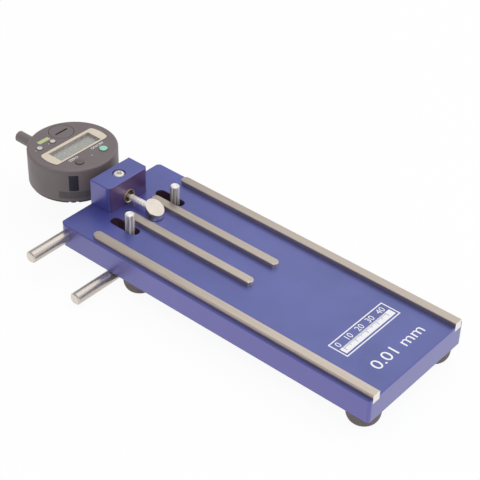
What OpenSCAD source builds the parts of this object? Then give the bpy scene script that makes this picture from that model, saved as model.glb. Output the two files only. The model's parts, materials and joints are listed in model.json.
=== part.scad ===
// Digital flange width gauge: a base plate with ground rails, a sprung carriage
// with two datum pins, and a digital indicator whose probe feels the flange edge.
// The user stands at -Y, the indicator is at +Y and the squeeze rods point to -X.
// Pieces are drawn with the middle of the plate's top face at zero, then moved home.

/* [Base plate] */
// Width of the base plate, left to right
plate_w = 90; // [88:0.5:110]
// Length of the base plate, front to back
plate_l = 240; // [215:1:320]
// Thickness of the base plate
plate_t = 16; // [15:0.5:22]
// Radius of the two rear corners
rear_corner_r = 5; // [1:0.5:8]
// Radius of the two front corners
front_corner_r = 2; // [0.5:0.5:6]
// Bevel along the plate's top edges
plate_bevel = 0.6; // [0.2:0.1:1.5]

/* [Rails] */
// Width of a rail
rail_w = 6; // [5:0.5:8]
// Height of a rail's bar
rail_bar_h = 6; // [5:0.5:7]
// How far a rail stands out of the plate
rail_proud = 3.1; // [2.5:0.1:4]
// Bevel along a rail's top edges
rail_bevel = 0.35; // [0.1:0.05:0.8]
// Distance of an outer rail's middle from the plate's side
outer_rail_in = 5.3; // [4:0.1:6.5]
// Distance of an inner rail's middle from the centre line
inner_rail_x = 11.6; // [11.2:0.1:12.5]
// Distance from the plate's rear edge to the rails' rear ends
rail_rear_gap = 26.5; // [25:0.5:34]
// Length of an inner rail
inner_rail_l = 103; // [95:1:140]

/* [Feet] */
// Diameter of a foot where it meets the plate
foot_d = 21.5; // [18:0.5:22]
// Diameter of a foot's shoulder
foot_shoulder_d = 20.4; // [17.5:0.1:21]
// Depth of a foot's shoulder below the plate
foot_shoulder_h = 3.2; // [3:0.1:6]
// Diameter of the ring that a foot stands on
foot_tip_d = 13; // [12.5:0.5:17]
// Height of a foot
foot_h = 9.8; // [9.4:0.1:14]
// Distance of the feet from the plate's sides
foot_in_x = 10.9; // [10.8:0.1:13]
// Distance of the front feet from the plate's front edge
front_foot_in = 10.8; // [10.8:0.1:30]
// Distance of the rear feet from the plate's rear edge
rear_foot_in = 58.5; // [58:0.5:75]

/* [Pin carriage] */
// Diameter of a datum pin
pin_d = 6; // [5:0.1:6.4]
// Height of a datum pin above the plate
pin_h = 11.8; // [8:0.1:18]
// Distance of a datum pin from the centre line
pin_x = 20.5; // [19.8:0.1:22]
// Width of the two pin slots
slot_w = 7; // [6.8:0.1:8]
// Distance from the plate's rear edge to the slots' rear ends
slot_rear_gap = 21.7; // [20:0.1:30]
// Free slot in front of a pin at rest
pin_front_free = 4.2; // [1:0.1:6]
// Free slot left behind a pin at the end of its travel
pin_rear_free = 1.8; // [0.5:0.1:3]
// Travel of the carriage when the rods are squeezed together
squeeze_travel = 11; // [6:0.5:12]
// Width of the carriage under the plate
carriage_w = 54; // [52:0.5:56]
// Length of the carriage along its travel
carriage_l = 17; // [16.5:0.5:19]
// Distance from the carriage's front face to the pins
carriage_nose = 10.5; // [10:0.1:11]
// Thickness of the carriage
carriage_h = 8.4; // [8.1:0.1:8.8]
// Diameter of the two guide shafts
shaft_d = 4; // [3:0.1:4.4]
// Distance of a guide shaft from the centre line
shaft_x = 12; // [11:0.1:12.5]
// Wall of a carriage bush
bush_wall = 1; // [0.6:0.1:1.4]
// Wall of a guide bracket beside its shafts
bracket_wall = 1.6; // [1:0.1:3]
// Length of a guide bracket along the shafts
bracket_l = 8; // [7.5:0.1:8.5]
// Distance of a bracket screw from the centre line
bracket_screw_x = 4.5; // [4:0.1:4.8]
// Wire of a carriage spring
spring_wire = 0.7; // [0.4:0.05:0.75]
// Gap round the shaft inside a carriage spring
spring_bore_gap = 0.4; // [0.3:0.05:0.6]
// Turns of a carriage spring
spring_turns = 8; // [5:1:9]
// Length of a carriage spring when squeezed
spring_squeezed_l = 7; // [6.8:0.1:8]

/* [Squeeze rods] */
// Diameter of the squeeze rods
rod_d = 8; // [6:0.1:8]
// How far the rods reach past the plate's side
rod_reach = 29.5; // [20:0.5:40]
// Bevel at the rods' free ends
rod_bevel = 0.8; // [0.3:0.1:1.5]
// Distance of the fixed rod from the plate's rear edge
fixed_rod_in = 4.9; // [4.6:0.1:6]
// Depth of the fixed rod's axis below the plate's top
fixed_rod_drop = 8.6; // [8:0.1:10]
// Length of the fixed rod inside the plate
fixed_rod_grip = 23; // [14:0.5:23]
// Distance from the pins to the moving rod, towards the user
moving_rod_lead = 5.4; // [5.4:0.1:6.4]
// Diameter of the moving rod's threaded end
rod_stud_d = 4; // [3:0.1:4.2]
// Length of the moving rod's threaded end
rod_stud_l = 10; // [6:0.5:11]

/* [Indicator block] */
// Width of the block
block_w = 35; // [34:0.5:40]
// Depth of the block, front to back
block_d = 16.8; // [16.5:0.1:19]
// Height of the block above the plate
block_h = 18.2; // [17:0.1:22]
// Depth of the block's seat in the plate
block_sink = 2; // [1:0.1:3]
// Radius of the block's front corners
block_corner_r = 3; // [1:0.5:4]
// Bevel along the block's top edges
block_bevel = 0.5; // [0.2:0.1:1]
// Distance of a block screw from the centre line
block_screw_x = 11.4; // [10.6:0.1:11.6]
// Diameter of the counterbore for the clamp screw
clamp_recess_d = 8.4; // [7.8:0.1:10]
// Depth of the counterbore for the clamp screw
clamp_recess_h = 2.4; // [1:0.1:3]

/* [Stem and spindle] */
// Height of the spindle's axis above the plate
stem_z = 4.7; // [4.6:0.1:6]
// Diameter of the stem
stem_d = 9.5; // [9:0.1:9.6]
// How far the stem stands out of the block
stem_proud = 0.8; // [0.3:0.1:1.5]
// Diameter of the stem's bore
stem_bore_d = 7.5; // [7:0.1:7.6]
// Depth of the open mouth of the stem
stem_mouth = 12.2; // [11.9:0.1:13]
// Length of the stem's guide bush
guide_bush_l = 12; // [8:0.5:13]
// Diameter of the spindle
spindle_d = 5; // [4.4:0.1:5.2]
// Travel of the spindle
spindle_travel = 12.7; // [8:0.1:12.7]
// Diameter of the cap over the spindle's rear end
cap_d = 7.6; // [7.6:0.1:9]
// How far the cap reaches past the indicator
cap_reach = 23.2; // [22.5:0.1:26]
// Wall of the cap's closed end
cap_end_wall = 1.4; // [1:0.1:1.6]

/* [Probe] */
// Diameter of the probe head
probe_d = 11.9; // [10:0.1:12.6]
// Distance from the block's front to the probe head's axis
probe_reach = 22.6; // [22:0.1:26]
// Height of the middle of the probe's slanted top
probe_top = 6.7; // [6.5:0.1:9]
// Slant of the probe's top
probe_slant = 27.5; // [15:0.5:35]
// Diameter of the probe's shank
shank_d = 4.2; // [3:0.1:4.2]
// Length of the shank that shows behind the probe head
shank_l = 14.4; // [11:0.1:14.6]
// Diameter of the probe's threaded stud
stud_d = 2.5; // [2:0.1:2.6]

/* [Indicator] */
// Diameter of the indicator
body_d = 59; // [58:0.5:62]
// Gap between the plate's rear edge and the indicator
body_gap = 4.2; // [3:0.1:6]
// Height of the indicator's face above the spindle's axis
face_rise = 15.8; // [15.5:0.1:18]
// Depth of the indicator's back below the spindle's axis
back_drop = 9.5; // [9.2:0.1:11]
// Wall of the indicator's case
case_wall = 3; // [2.8:0.1:3.4]
// Thickness of the back cover
back_cover_t = 1.8; // [1.6:0.1:2.4]
// Height of the turning head's rim
rim_h = 1.7; // [1.6:0.1:2]
// Radius of the head's rounded top edge
rim_r = 1.5; // [0.5:0.1:1.5]
// Thickness of the head's face
face_t = 2.2; // [2.1:0.1:2.4]

/* [Display] */
// Distance from the indicator's middle to the display's middle, towards the user
lcd_lead = 1.8; // [1:0.1:2]
// Distance from the middle of the display's frame to the middle of its window, towards the user
window_lead = 0.5; // [0:0.1:0.8]
// Width of the display's window
window_w = 35; // [30:0.5:35]
// Height of the display's window
window_h = 12.1; // [10:0.1:12.2]
// Height of the display's frame
bezel_h = 15.8; // [15:0.1:16]
// Distance of the frame's round ends from the indicator's edge
bezel_in = 5.7; // [5:0.1:7]
// Radius of the frame's corners
bezel_corner_r = 2.5; // [1:0.1:3.5]
// Thickness of the display's frame
bezel_t = 1.2; // [1.1:0.1:1.3]

/* [Keys and battery] */
// Diameter of the two large keys
key_d = 5.4; // [4.5:0.1:5.6]
// Distance of a large key from the indicator's edge
key_in = 8.9; // [8.5:0.1:9.5]
// Turn of a large key from the centre line, in degrees
key_turn = 30.9; // [25:0.1:35]
// Diameter of the two small keys
small_key_d = 3.7; // [3:0.1:4]
// Distance of the left small key from the indicator's edge
left_small_key_in = 8.4; // [8:0.1:9]
// Turn of the left small key from the centre line, in degrees
left_small_key_turn = 54.4; // [50:0.1:56]
// Distance of the right small key from the indicator's edge
right_small_key_in = 15.9; // [15.5:0.1:16.1]
// Turn of the right small key from the centre line, in degrees
right_small_key_turn = 25.6; // [25:0.1:30]
// How far a key stands out of the face
key_proud = 0.9; // [0.6:0.1:1.5]
// Travel of a key
key_travel = 0.5; // [0.2:0.1:0.6]
// Diameter of the battery cover
battery_cover_d = 16.4; // [15.8:0.1:16.8]
// Distance of the battery's middle from the indicator's edge
battery_in = 11.2; // [11:0.1:11.5]
// Turn of the battery from the centre line, in degrees
battery_turn = 20.5; // [18:0.1:24]
// Diameter of the button cell
cell_d = 11.6; // [10:0.1:11.8]
// Height of the button cell
cell_h = 5.4; // [4:0.1:5.5]

/* [Hidden] */
$fn = 64;
// Clearances
seat_fit = 0.05;
run_fit = 0.05;
press_gap = 0.01;
rest_gap = 0.1;
moving_gap = 0.3;
cut = 1;
// Standard screws
m2_d = 1.8;
m2_head_d = 3.4;
m2_head_h = 1;
m3_d = 2.9;
m3_head_d = 5.2;
m3_head_h = 2.8;
m4_d = 3.9;
m4_head_d = 7;
m4_head_h = 2.6;
m5_d = 4.9;
m5_head_d = 8.2;
m5_head_h = 4.6;
head_clear = 0.4;
// Places along the plate
rear_y = plate_l / 2;
front_y = -plate_l / 2;
plate_bottom = -plate_t;
outer_rail_x = plate_w / 2 - outer_rail_in;
rail_rear_y = rear_y - rail_rear_gap;
rail_sunk = rail_bar_h - rail_proud;
inner_rail_front_y = rail_rear_y - inner_rail_l;
rail_screw_in = 30;
rail_screw_bite = 4;
outer_rail_screw_y = [for (k = [0:3]) front_y + rail_screw_in
    + k * (rail_rear_y - rail_w - 2 * rail_w - front_y - rail_screw_in) / 3];
inner_rail_screw_y = [for (k = [0:2]) inner_rail_front_y + rail_w
    + k * (inner_rail_l - 2 * rail_w) / 2];
foot_x = plate_w / 2 - foot_in_x;
foot_y = [front_y + front_foot_in, rear_y - rear_foot_in];
foot_recess_d = m4_head_d + 1.5;
foot_recess_h = m4_head_h + 1.4;
foot_screw_bite = 8;
// Places of the carriage and its guides
slot_l = pin_front_free + pin_d + squeeze_travel + pin_rear_free;
slot_rear_y = rear_y - slot_rear_gap;
pin_y = slot_rear_y - slot_l + pin_front_free + pin_d / 2;
carriage_y = pin_y - carriage_nose;
carriage_rear_y = carriage_y + carriage_l;
carriage_top = plate_bottom - moving_gap;
shaft_z = carriage_top - carriage_h / 2;
front_bracket_y = carriage_y - rest_gap - bracket_l;
rear_bracket_y = carriage_rear_y + squeeze_travel + spring_squeezed_l;
bracket_w = 2 * (shaft_x + shaft_d / 2 + bracket_wall);
bracket_screw_bite = 8;
shaft_bite = bracket_l - 2;
bush_d = shaft_d + 2 * bush_wall;
spring_r = shaft_d / 2 + spring_bore_gap + spring_wire / 2;
spring_l = rear_bracket_y - carriage_rear_y;
pin_bite = carriage_h - 1;
pin_bevel = 0.5;
moving_rod_y = pin_y - moving_rod_lead;
rod_end_x = -plate_w / 2 - rod_reach;
fixed_rod_y = rear_y - fixed_rod_in;
// Places of the block, the stem and the spindle
block_front_y = rear_y - block_d;
block_mid_y = rear_y - block_d / 2;
block_screw_bite = 9;
stem_front_y = block_front_y - stem_proud;
body_r = body_d / 2;
body_y = rear_y + body_gap + body_r;
case_in_r = body_r - case_wall;
stem_rear_y = body_y - case_in_r + 2.8;
stem_seat_y = body_y - body_r;
stem_mouth_bevel = 0.5;
guide_bush_y = stem_front_y + stem_mouth;
carrier_y = stem_rear_y + rest_gap;
carrier_l = 18;
carrier_w = 10;
carrier_drop = 4;
carrier_rise = 3;
carrier_mid_y = carrier_y + carrier_l / 2;
reader_y = carrier_mid_y + carrier_l / 2;
reader_l = 26;
reader_w = carrier_w + 8;
reader_screw_span = 20;
guide_pin_bite = 1;
guide_pin_gap = 0.25;
guide_rib_t = 1.4;
guide_rib_l = 30;
guide_rib_h = 2;
rear_bush_d = 9;
rear_bush_y = body_y + case_in_r - 1.6;
rear_bush_seat_y = body_y + body_r + 0.2;
cap_rear_y = body_y + body_r + cap_reach;
cap_bore_d = spindle_d + 2 * moving_gap;
cap_thread_d = cap_d - 1.5;
cap_thread_l = 4.6;
cap_bevel = 0.6;
spindle_rear_y = cap_rear_y - cap_end_wall - spindle_travel - 1.6;
probe_y = block_front_y - probe_reach;
probe_bottom = 0.35;
shank_front_y = probe_y + 2;
shank_rear_y = probe_y + probe_d / 2 + shank_l;
spindle_front_y = shank_rear_y + 8.5;
stud_bite = 5;
// Heights in the indicator
face_z = stem_z + face_rise;
back_z = stem_z - back_drop;
case_bottom = back_z + back_cover_t;
rim_z = face_z - rim_h;
case_top = rim_z - rest_gap;
web_z = stem_z + stem_d / 2 + 0.25;
web_t = 1.6;
web_top = web_z + web_t;
case_upper_r = body_r - 2.6;
cover_r = body_r - 1;
cover_boss_d = 6.4;
cover_screw_in = 3;
cover_screw_bite = 6;
notch_w = 1.9;
notch_depth = 0.8;
notch_turns = [-139.5, -129.8];
barrel_r = case_upper_r - moving_gap;
barrel_t = 1.6;
barrel_bottom = web_top + 1;
face_bottom = face_z - face_t;
ring_z = barrel_bottom + 2.4;
ring_h = 0.8;
ring_in_r = barrel_r - 0.7;
ring_out_r = case_upper_r + 0.6;
scale_t = 0.6;
reader_t = 1;
// Places on the face
lcd_y = body_y - lcd_lead;
window_y = lcd_y - window_lead;
key_place = (body_r - key_in) * [sin(key_turn), -cos(key_turn)];
left_small_key_place = (body_r - left_small_key_in)
    * [-sin(left_small_key_turn), cos(left_small_key_turn)];
right_small_key_place = (body_r - right_small_key_in)
    * [-sin(right_small_key_turn), cos(right_small_key_turn)];
battery_place = (body_r - battery_in) * [sin(battery_turn), cos(battery_turn)];
bezel_r = body_r - bezel_in;
window_lip = 0.4;
window_t = 1;
bezel_seat_z = face_z - bezel_t + 0.2;
panel_t = 1.8;
panel_w = window_w + 5;
panel_h = window_h + 3.6;
board_t = 1;
connector_h = 1.4;
board_top = face_bottom - panel_t - connector_h;
board_z = board_top - board_t;
board_r = barrel_r - barrel_t - 0.4;
post_r = 1.9;
post_in = 7.4;
post_panel_gap = 0.752;
post_low = window_y - body_y - panel_h / 2 - post_panel_gap - post_r;
post_lean = asin(post_low / (body_r - post_in));
post_turns = [post_lean, 27.3, 180 - post_lean];
key_flange_t = 0.8;
key_flange_lip = 0.9;
key_gap = 0.2;
key_bevel = 0.3;
key_flange_top = face_bottom - rest_gap;
switch_size = 3.6;
switch_h = key_flange_top - key_flange_t - key_travel - key_gap - board_top;
battery_lip_d = cell_d + 1.6;
battery_well_r = cell_d / 2 + 0.4;
battery_well_out_r = battery_well_r + 1;
battery_spigot_z = face_bottom - rest_gap;
battery_well_bottom = battery_spigot_z - rest_gap - cell_h - 2 * seat_fit;
battery_cover_t = 1.5;
contact_t = 0.4;
coin_slot_w = 1.3;
coin_slot_l = 10.4;
coin_slot_depth = 1;
// The part's frame: middle of its box, on the surface that it stands on
mid_x = (plate_w / 2 + rod_end_x) / 2;
mid_y = (front_y + cap_rear_y) / 2;
stand_h = plate_t + foot_h;
// Colours
blue = [0.16, 0.20, 0.52];
rail_steel = [0.72, 0.69, 0.64];
bright_steel = [0.82, 0.81, 0.80];
screw_steel = [0.66, 0.66, 0.67];
spring_steel = [0.58, 0.59, 0.61];
brass = [0.72, 0.57, 0.30];
rubber = [0.16, 0.15, 0.15];
case_grey = [0.30, 0.28, 0.28];
black = [0.08, 0.08, 0.09];
cream = [0.86, 0.80, 0.70];
key_green = [0.30, 0.72, 0.55];
key_light = [0.72, 0.72, 0.74];
board_green = [0.10, 0.36, 0.20];
lcd_grey = [0.62, 0.64, 0.58];
clear = [0.85, 0.90, 0.90, 0.35];

// Shared shapes

// Moves a piece from the plate's frame to the part's frame
module home() {
    translate([-mid_x, -mid_y, stand_h]) children();
}

// Round bar along Y between two places
module bar_y(d, y0, y1) {
    rotate([-90, 0, 0]) translate([0, 0, y0]) cylinder(d = d, h = y1 - y0);
}

// Round bar along X between two places
module bar_x(d, x0, x1) {
    rotate([0, 90, 0]) translate([0, 0, x0]) cylinder(d = d, h = x1 - x0);
}

// Box from its middle in plan, with its bottom and height
module slab(w, l, bottom, h) {
    translate([-w / 2, -l / 2, bottom]) cube([w, l, h]);
}

// Outline with round corners at the rear and at the front
module corner_outline(w, l, rear_r, front_r) {
    difference() {
        square([w, l], center = true);
        for (side = [-1, 1], end = [-1, 1]) {
            r = end > 0 ? rear_r : front_r;
            translate([side * w / 2, end * l / 2]) difference() {
                square(2 * r, center = true);
                translate([-side * r, -end * r]) circle(r);
            }
        }
    }
}

// Outline with its upper corners bevelled
module bevelled_outline(w, bottom, top, bevel) {
    polygon([[-w / 2, bottom], [w / 2, bottom], [w / 2, top - bevel],
        [w / 2 - bevel, top], [bevel - w / 2, top], [-w / 2, top - bevel]]);
}

// Block with round upright corners and bevelled top edges
module bevelled_block(w, l, bottom, top, rear_r, front_r, bevel) {
    intersection() {
        translate([0, 0, bottom]) linear_extrude(top - bottom) corner_outline(w, l, rear_r, front_r);
        translate([0, l / 2, 0]) rotate([90, 0, 0]) linear_extrude(l)
            bevelled_outline(w, bottom, top, bevel);
        translate([-w / 2, 0, 0]) rotate([90, 0, 90]) linear_extrude(w)
            bevelled_outline(l, bottom, top, bevel);
    }
}

// Slot with round ends along Y, between its two tips
module long_slot(w, y0, y1, bottom, h) {
    translate([-w / 2, y0 + w / 2, bottom]) cube([w, y1 - y0 - w, h]);
    for (y = [y0 + w / 2, y1 - w / 2]) translate([0, y, bottom]) cylinder(d = w, h = h);
}

// Socket screw that points up, with the seat of its head at zero
module socket_screw(d, head_d, head_h, length) {
    difference() {
        union() {
            cylinder(d = d, h = length);
            translate([0, 0, -head_h]) cylinder(d = head_d, h = head_h);
        }
        translate([0, 0, -head_h - cut]) cylinder(d = head_d * 0.5, h = cut + head_h * 0.6, $fn = 6);
    }
}

// Hole for a screw's shank and, below its seat, for its head
module screw_hole(d, length, head_d = 0, head_room = 0) {
    translate([0, 0, -seat_fit]) cylinder(d = d + 2 * seat_fit, h = length + 2 * seat_fit);
    if (head_d > 0) {
        translate([0, 0, -head_room]) cylinder(d = head_d + 4 * seat_fit, h = head_room);
    }
}

// Places that several pieces share

module at_rail_screws(z) {
    for (side = [-1, 1]) {
        for (y = outer_rail_screw_y) translate([side * outer_rail_x, y, z]) children();
        for (y = inner_rail_screw_y) translate([side * inner_rail_x, y, z]) children();
    }
}

module at_feet(z) {
    for (side = [-1, 1], y = foot_y) translate([side * foot_x, y, z]) children();
}

module at_block_screws(z) {
    for (side = [-1, 1]) translate([side * block_screw_x, block_mid_y, z]) children();
}

module at_bracket_screws(z) {
    for (side = [-1, 1], y = [front_bracket_y, rear_bracket_y])
        translate([side * bracket_screw_x, y + bracket_l / 2, z]) children();
}

module at_cover_screws(z) {
    for (k = [0:3]) translate([0, body_y, z]) rotate(45 + 90 * k)
        translate([case_in_r - cover_screw_in, 0, 0]) children();
}

module at_reader_screws(z) {
    for (side = [-1, 1], end = [-1, 1])
        translate([side * (reader_w / 2 - 2), reader_y + end * reader_screw_span / 2, z]) children();
}

module at_posts(z) {
    for (turn = post_turns) translate([0, body_y, z]) rotate(turn)
        translate([body_r - post_in, 0, 0]) children();
}

module on_face(place) {
    translate([place[0], body_y + place[1], 0]) children();
}

module at_battery(z) {
    on_face(battery_place) translate([0, 0, z]) children();
}

module at_spindle() {
    translate([0, 0, stem_z]) children();
}

// Base plate and what is fixed to it

rail_seat_z = -rail_sunk;
rail_screw_l = rail_screw_bite + 4;
rail_screw_z = rail_seat_z + rail_screw_bite - rail_screw_l;
rail_head_room = rail_screw_z - plate_bottom;
block_head_room = m5_head_h + head_clear;
block_screw_z = plate_bottom + block_head_room;
block_screw_l = -block_sink - block_screw_z + block_screw_bite;
bracket_screw_z = carriage_top - carriage_h + m4_head_h + head_clear;
bracket_screw_l = plate_bottom - bracket_screw_z + bracket_screw_bite;

module base_plate() {
    color(blue) home() difference() {
        bevelled_block(plate_w, plate_l, plate_bottom, 0, rear_corner_r, front_corner_r, plate_bevel);
        for (side = [-1, 1]) {
            groove_w = rail_w + 2 * seat_fit;
            translate([side * outer_rail_x, 0, rail_seat_z]) {
                long_slot(groove_w, front_y - groove_w, rail_rear_y + seat_fit, 0, rail_sunk + cut);
            }
            translate([side * inner_rail_x, 0, rail_seat_z]) {
                long_slot(groove_w, inner_rail_front_y - seat_fit, rail_rear_y + seat_fit, 0,
                    rail_sunk + cut);
            }
            translate([side * pin_x, 0, 0]) {
                long_slot(slot_w, slot_rear_y - slot_l, slot_rear_y, plate_bottom - cut, plate_t + 2 * cut);
            }
        }
        translate([0, block_mid_y, 0]) linear_extrude(2 * block_sink, center = true)
            corner_outline(block_w + 2 * seat_fit, block_d + 2 * seat_fit, seat_fit, block_corner_r);
        at_spindle() bar_y(stem_d + 2 * moving_gap, stem_front_y - moving_gap, block_mid_y);
        translate([0, fixed_rod_y, -fixed_rod_drop]) {
            bar_x(rod_d + 2 * press_gap, -plate_w / 2 - cut, fixed_rod_grip - plate_w / 2 + seat_fit);
        }
        at_rail_screws(rail_screw_z) screw_hole(m3_d, rail_screw_l, m3_head_d, rail_head_room + cut);
        at_feet(plate_bottom) screw_hole(m4_d, foot_screw_bite);
        at_block_screws(block_screw_z) screw_hole(m5_d, block_screw_l, m5_head_d, block_head_room + cut);
        at_bracket_screws(plate_bottom) screw_hole(m4_d, bracket_screw_bite);
    }
}

// Rail with a round rear end, and a round front end if it stops short of the edge
module rail(front_tip, round_front) {
    front = round_front ? front_tip + rail_w / 2 : front_tip;
    rear = rail_rear_y - rail_w / 2;
    translate([0, rear, 0]) rotate([90, 0, 0]) linear_extrude(rear - front)
        bevelled_outline(rail_w, -rail_sunk, rail_proud, rail_bevel);
    translate([0, rear, 0]) rail_nose();
    if (round_front) translate([0, front, 0]) rotate(180) rail_nose();
}

module rail_nose() {
    rotate_extrude(angle = 180) polygon([[0, -rail_sunk], [rail_w / 2, -rail_sunk],
        [rail_w / 2, rail_proud - rail_bevel], [rail_w / 2 - rail_bevel, rail_proud], [0, rail_proud]]);
}

module outer_rail(side) {
    color(rail_steel) home() difference() {
        translate([side * outer_rail_x, 0, 0]) rail(front_y, false);
        at_rail_screws(rail_screw_z) screw_hole(m3_d, rail_screw_l);
    }
}

module inner_rail(side) {
    color(rail_steel) home() difference() {
        translate([side * inner_rail_x, 0, 0]) rail(inner_rail_front_y, true);
        at_rail_screws(rail_screw_z) screw_hole(m3_d, rail_screw_l);
    }
}

module outer_rail_left() { outer_rail(-1); }
module outer_rail_right() { outer_rail(1); }
module inner_rail_left() { inner_rail(-1); }
module inner_rail_right() { inner_rail(1); }

module rail_screws() {
    color(screw_steel) home() at_rail_screws(rail_screw_z)
        socket_screw(m3_d, m3_head_d, m3_head_h, rail_screw_l);
}

// Rubber foot that hangs from the plate, with a hidden screw
module foot(side, y) {
    shoulder_r = foot_shoulder_d / 2;
    tip_r = foot_tip_d / 2;
    drop = foot_h - foot_shoulder_h;
    round_side = [for (a = [0:10:90])
        [tip_r + (shoulder_r - tip_r) * cos(a), -foot_shoulder_h - drop * sin(a)]];
    hole_r = m4_d / 2 + seat_fit;
    recess_z = foot_recess_h - foot_h;
    color(rubber) home() translate([side * foot_x, y, plate_bottom]) rotate_extrude() polygon(concat(
        [[hole_r, 0], [foot_d / 2, 0]], round_side,
        [[foot_recess_d / 2, -foot_h], [foot_recess_d / 2, recess_z], [hole_r, recess_z]]));
}

module front_left_foot() { foot(-1, foot_y[0]); }
module front_right_foot() { foot(1, foot_y[0]); }
module rear_left_foot() { foot(-1, foot_y[1]); }
module rear_right_foot() { foot(1, foot_y[1]); }

module foot_screws() {
    seat = plate_bottom - foot_h + foot_recess_h;
    color(screw_steel) home() at_feet(seat)
        socket_screw(m4_d, m4_head_d, m4_head_h, foot_h - foot_recess_h + foot_screw_bite);
}

// Round rod along X whose free end is bevelled
module rod_with_end(inner_x) {
    bar_x(rod_d, rod_end_x + rod_bevel, inner_x);
    translate([rod_end_x, 0, 0]) rotate([0, 90, 0])
        cylinder(d1 = rod_d - 2 * rod_bevel, d2 = rod_d, h = rod_bevel);
}

module fixed_squeeze_rod() {
    color(bright_steel) home() translate([0, fixed_rod_y, -fixed_rod_drop])
        rod_with_end(fixed_rod_grip - plate_w / 2);
}

module indicator_block() {
    color(blue) home() difference() {
        translate([0, block_mid_y, 0])
            bevelled_block(block_w, block_d, -block_sink, block_h, block_bevel, block_corner_r, block_bevel);
        at_spindle() bar_y(stem_d + 2 * run_fit, block_front_y - cut, rear_y + cut);
        at_block_screws(block_screw_z) screw_hole(m5_d, block_screw_l);
        translate([0, block_mid_y, stem_z]) cylinder(d = m5_d + 2 * seat_fit, h = block_h);
        translate([0, block_mid_y, clamp_seat_z]) {
            cylinder(d = clamp_recess_d, h = clamp_recess_h + cut);
        }
    }
}

module block_screws() {
    color(screw_steel) home() at_block_screws(block_screw_z)
        socket_screw(m5_d, m5_head_d, m5_head_h, block_screw_l);
}

clamp_head_d = clamp_recess_d - 1;
clamp_head_h = 2.6;
clamp_pad_h = 2;
clamp_seat_z = block_h - clamp_recess_h;
clamp_pad_z = stem_z + stem_d / 2 + seat_fit;

module stem_clamp_screw() {
    cross_w = 1.1;
    cross_l = 4;
    color(bright_steel) home() translate([0, block_mid_y, 0]) difference() {
        union() {
            translate([0, 0, clamp_pad_z + clamp_pad_h]) {
                cylinder(d = m5_d, h = clamp_seat_z - clamp_pad_z - clamp_pad_h);
            }
            translate([0, 0, clamp_seat_z]) rotate_extrude() polygon(concat([[0, 0], [clamp_head_d / 2, 0]],
                [for (a = [0:15:90])
                    [clamp_head_d / 2 * (0.6 + 0.4 * cos(a)), clamp_head_h * (0.4 + 0.6 * sin(a))]],
                [[0, clamp_head_h]]));
        }
        translate([0, 0, clamp_seat_z + clamp_head_h - 1.4]) {
            slab(cross_l, cross_w, 0, 2);
            slab(cross_w, cross_l, 0, 2);
        }
    }
}

module stem_clamp_pad() {
    color(brass) home() translate([0, block_mid_y, clamp_pad_z]) cylinder(d = m5_d, h = clamp_pad_h);
}

// Guides of the carriage under the plate

module guide_bracket(y, hole_y0, hole_y1) {
    color(blue) home() difference() {
        translate([0, y + bracket_l / 2, 0])
            slab(bracket_w, bracket_l, carriage_top - carriage_h, carriage_h + moving_gap);
        for (side = [-1, 1]) translate([side * shaft_x, 0, shaft_z]) {
            bar_y(shaft_d + 2 * press_gap, hole_y0, hole_y1);
        }
        at_bracket_screws(bracket_screw_z) {
            screw_hole(m4_d, bracket_screw_l, m4_head_d, m4_head_h + head_clear + cut);
        }
    }
}

module front_guide_bracket() {
    rear = front_bracket_y + bracket_l;
    guide_bracket(front_bracket_y, rear - shaft_bite - seat_fit, rear + cut);
}

module rear_guide_bracket() {
    guide_bracket(rear_bracket_y, rear_bracket_y - cut, rear_bracket_y + shaft_bite + seat_fit);
}

module bracket_screws() {
    color(screw_steel) home() at_bracket_screws(bracket_screw_z)
        socket_screw(m4_d, m4_head_d, m4_head_h, bracket_screw_l);
}

module guide_shaft(side) {
    color(bright_steel) home() translate([side * shaft_x, 0, shaft_z])
        bar_y(shaft_d, front_bracket_y + bracket_l - shaft_bite, rear_bracket_y + shaft_bite);
}

module left_guide_shaft() { guide_shaft(-1); }
module right_guide_shaft() { guide_shaft(1); }

// Coil springs: one unbroken tube whose rings follow a helix with closed ends

spring_sides = 6;
spring_rings_per_turn = 8;
spring_end_gap = 0.05;
spring_free_l = spring_l - 2 * spring_end_gap - spring_wire;
spring_pitch = spring_free_l / spring_turns;
spring_steps = spring_turns * spring_rings_per_turn;
spring_points = [for (k = [0:spring_steps]) let (a = 360 * k / spring_rings_per_turn)
    [spring_r * cos(a), spring_r * sin(a), spring_free_l * k / spring_steps]];
spring_least_gap = spring_pitch - spring_wire;
echo(spring_least_gap = spring_least_gap);

// Ring of points round the wire at one place on the helix
function wire_ring(k) = let (
    a = 360 * k / spring_rings_per_turn,
    out = [cos(a), sin(a), 0],
    run = [-spring_r * sin(a) * 2 * PI, spring_r * cos(a) * 2 * PI, spring_pitch],
    along = run / norm(run),
    up = cross(along, out)
) [for (s = [0:spring_sides - 1]) spring_points[k]
    + spring_wire / 2 * (cos(360 * s / spring_sides) * out + sin(360 * s / spring_sides) * up)];

module coil_spring() {
    n = spring_sides;
    last = spring_steps * n;
    points = [for (k = [0:spring_steps]) each wire_ring(k)];
    sides = [for (k = [0:spring_steps - 1], s = [0:n - 1]) let (t = (s + 1) % n, a = k * n)
        each [[a + s, a + n + s, a + n + t], [a + s, a + n + t, a + t]]];
    start = [for (s = [1:n - 2]) [0, s, s + 1]];
    end = [for (s = [1:n - 2]) [last, last + s + 1, last + s]];
    polyhedron(points = points, faces = concat(sides, start, end));
}

module carriage_spring(side) {
    color(spring_steel) home()
        translate([side * shaft_x, carriage_rear_y + spring_end_gap + spring_wire / 2, shaft_z])
        rotate([-90, 0, 0]) coil_spring();
}

module left_carriage_spring() { carriage_spring(-1); }
module right_carriage_spring() { carriage_spring(1); }

// Carriage with its pins and the moving rod

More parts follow.
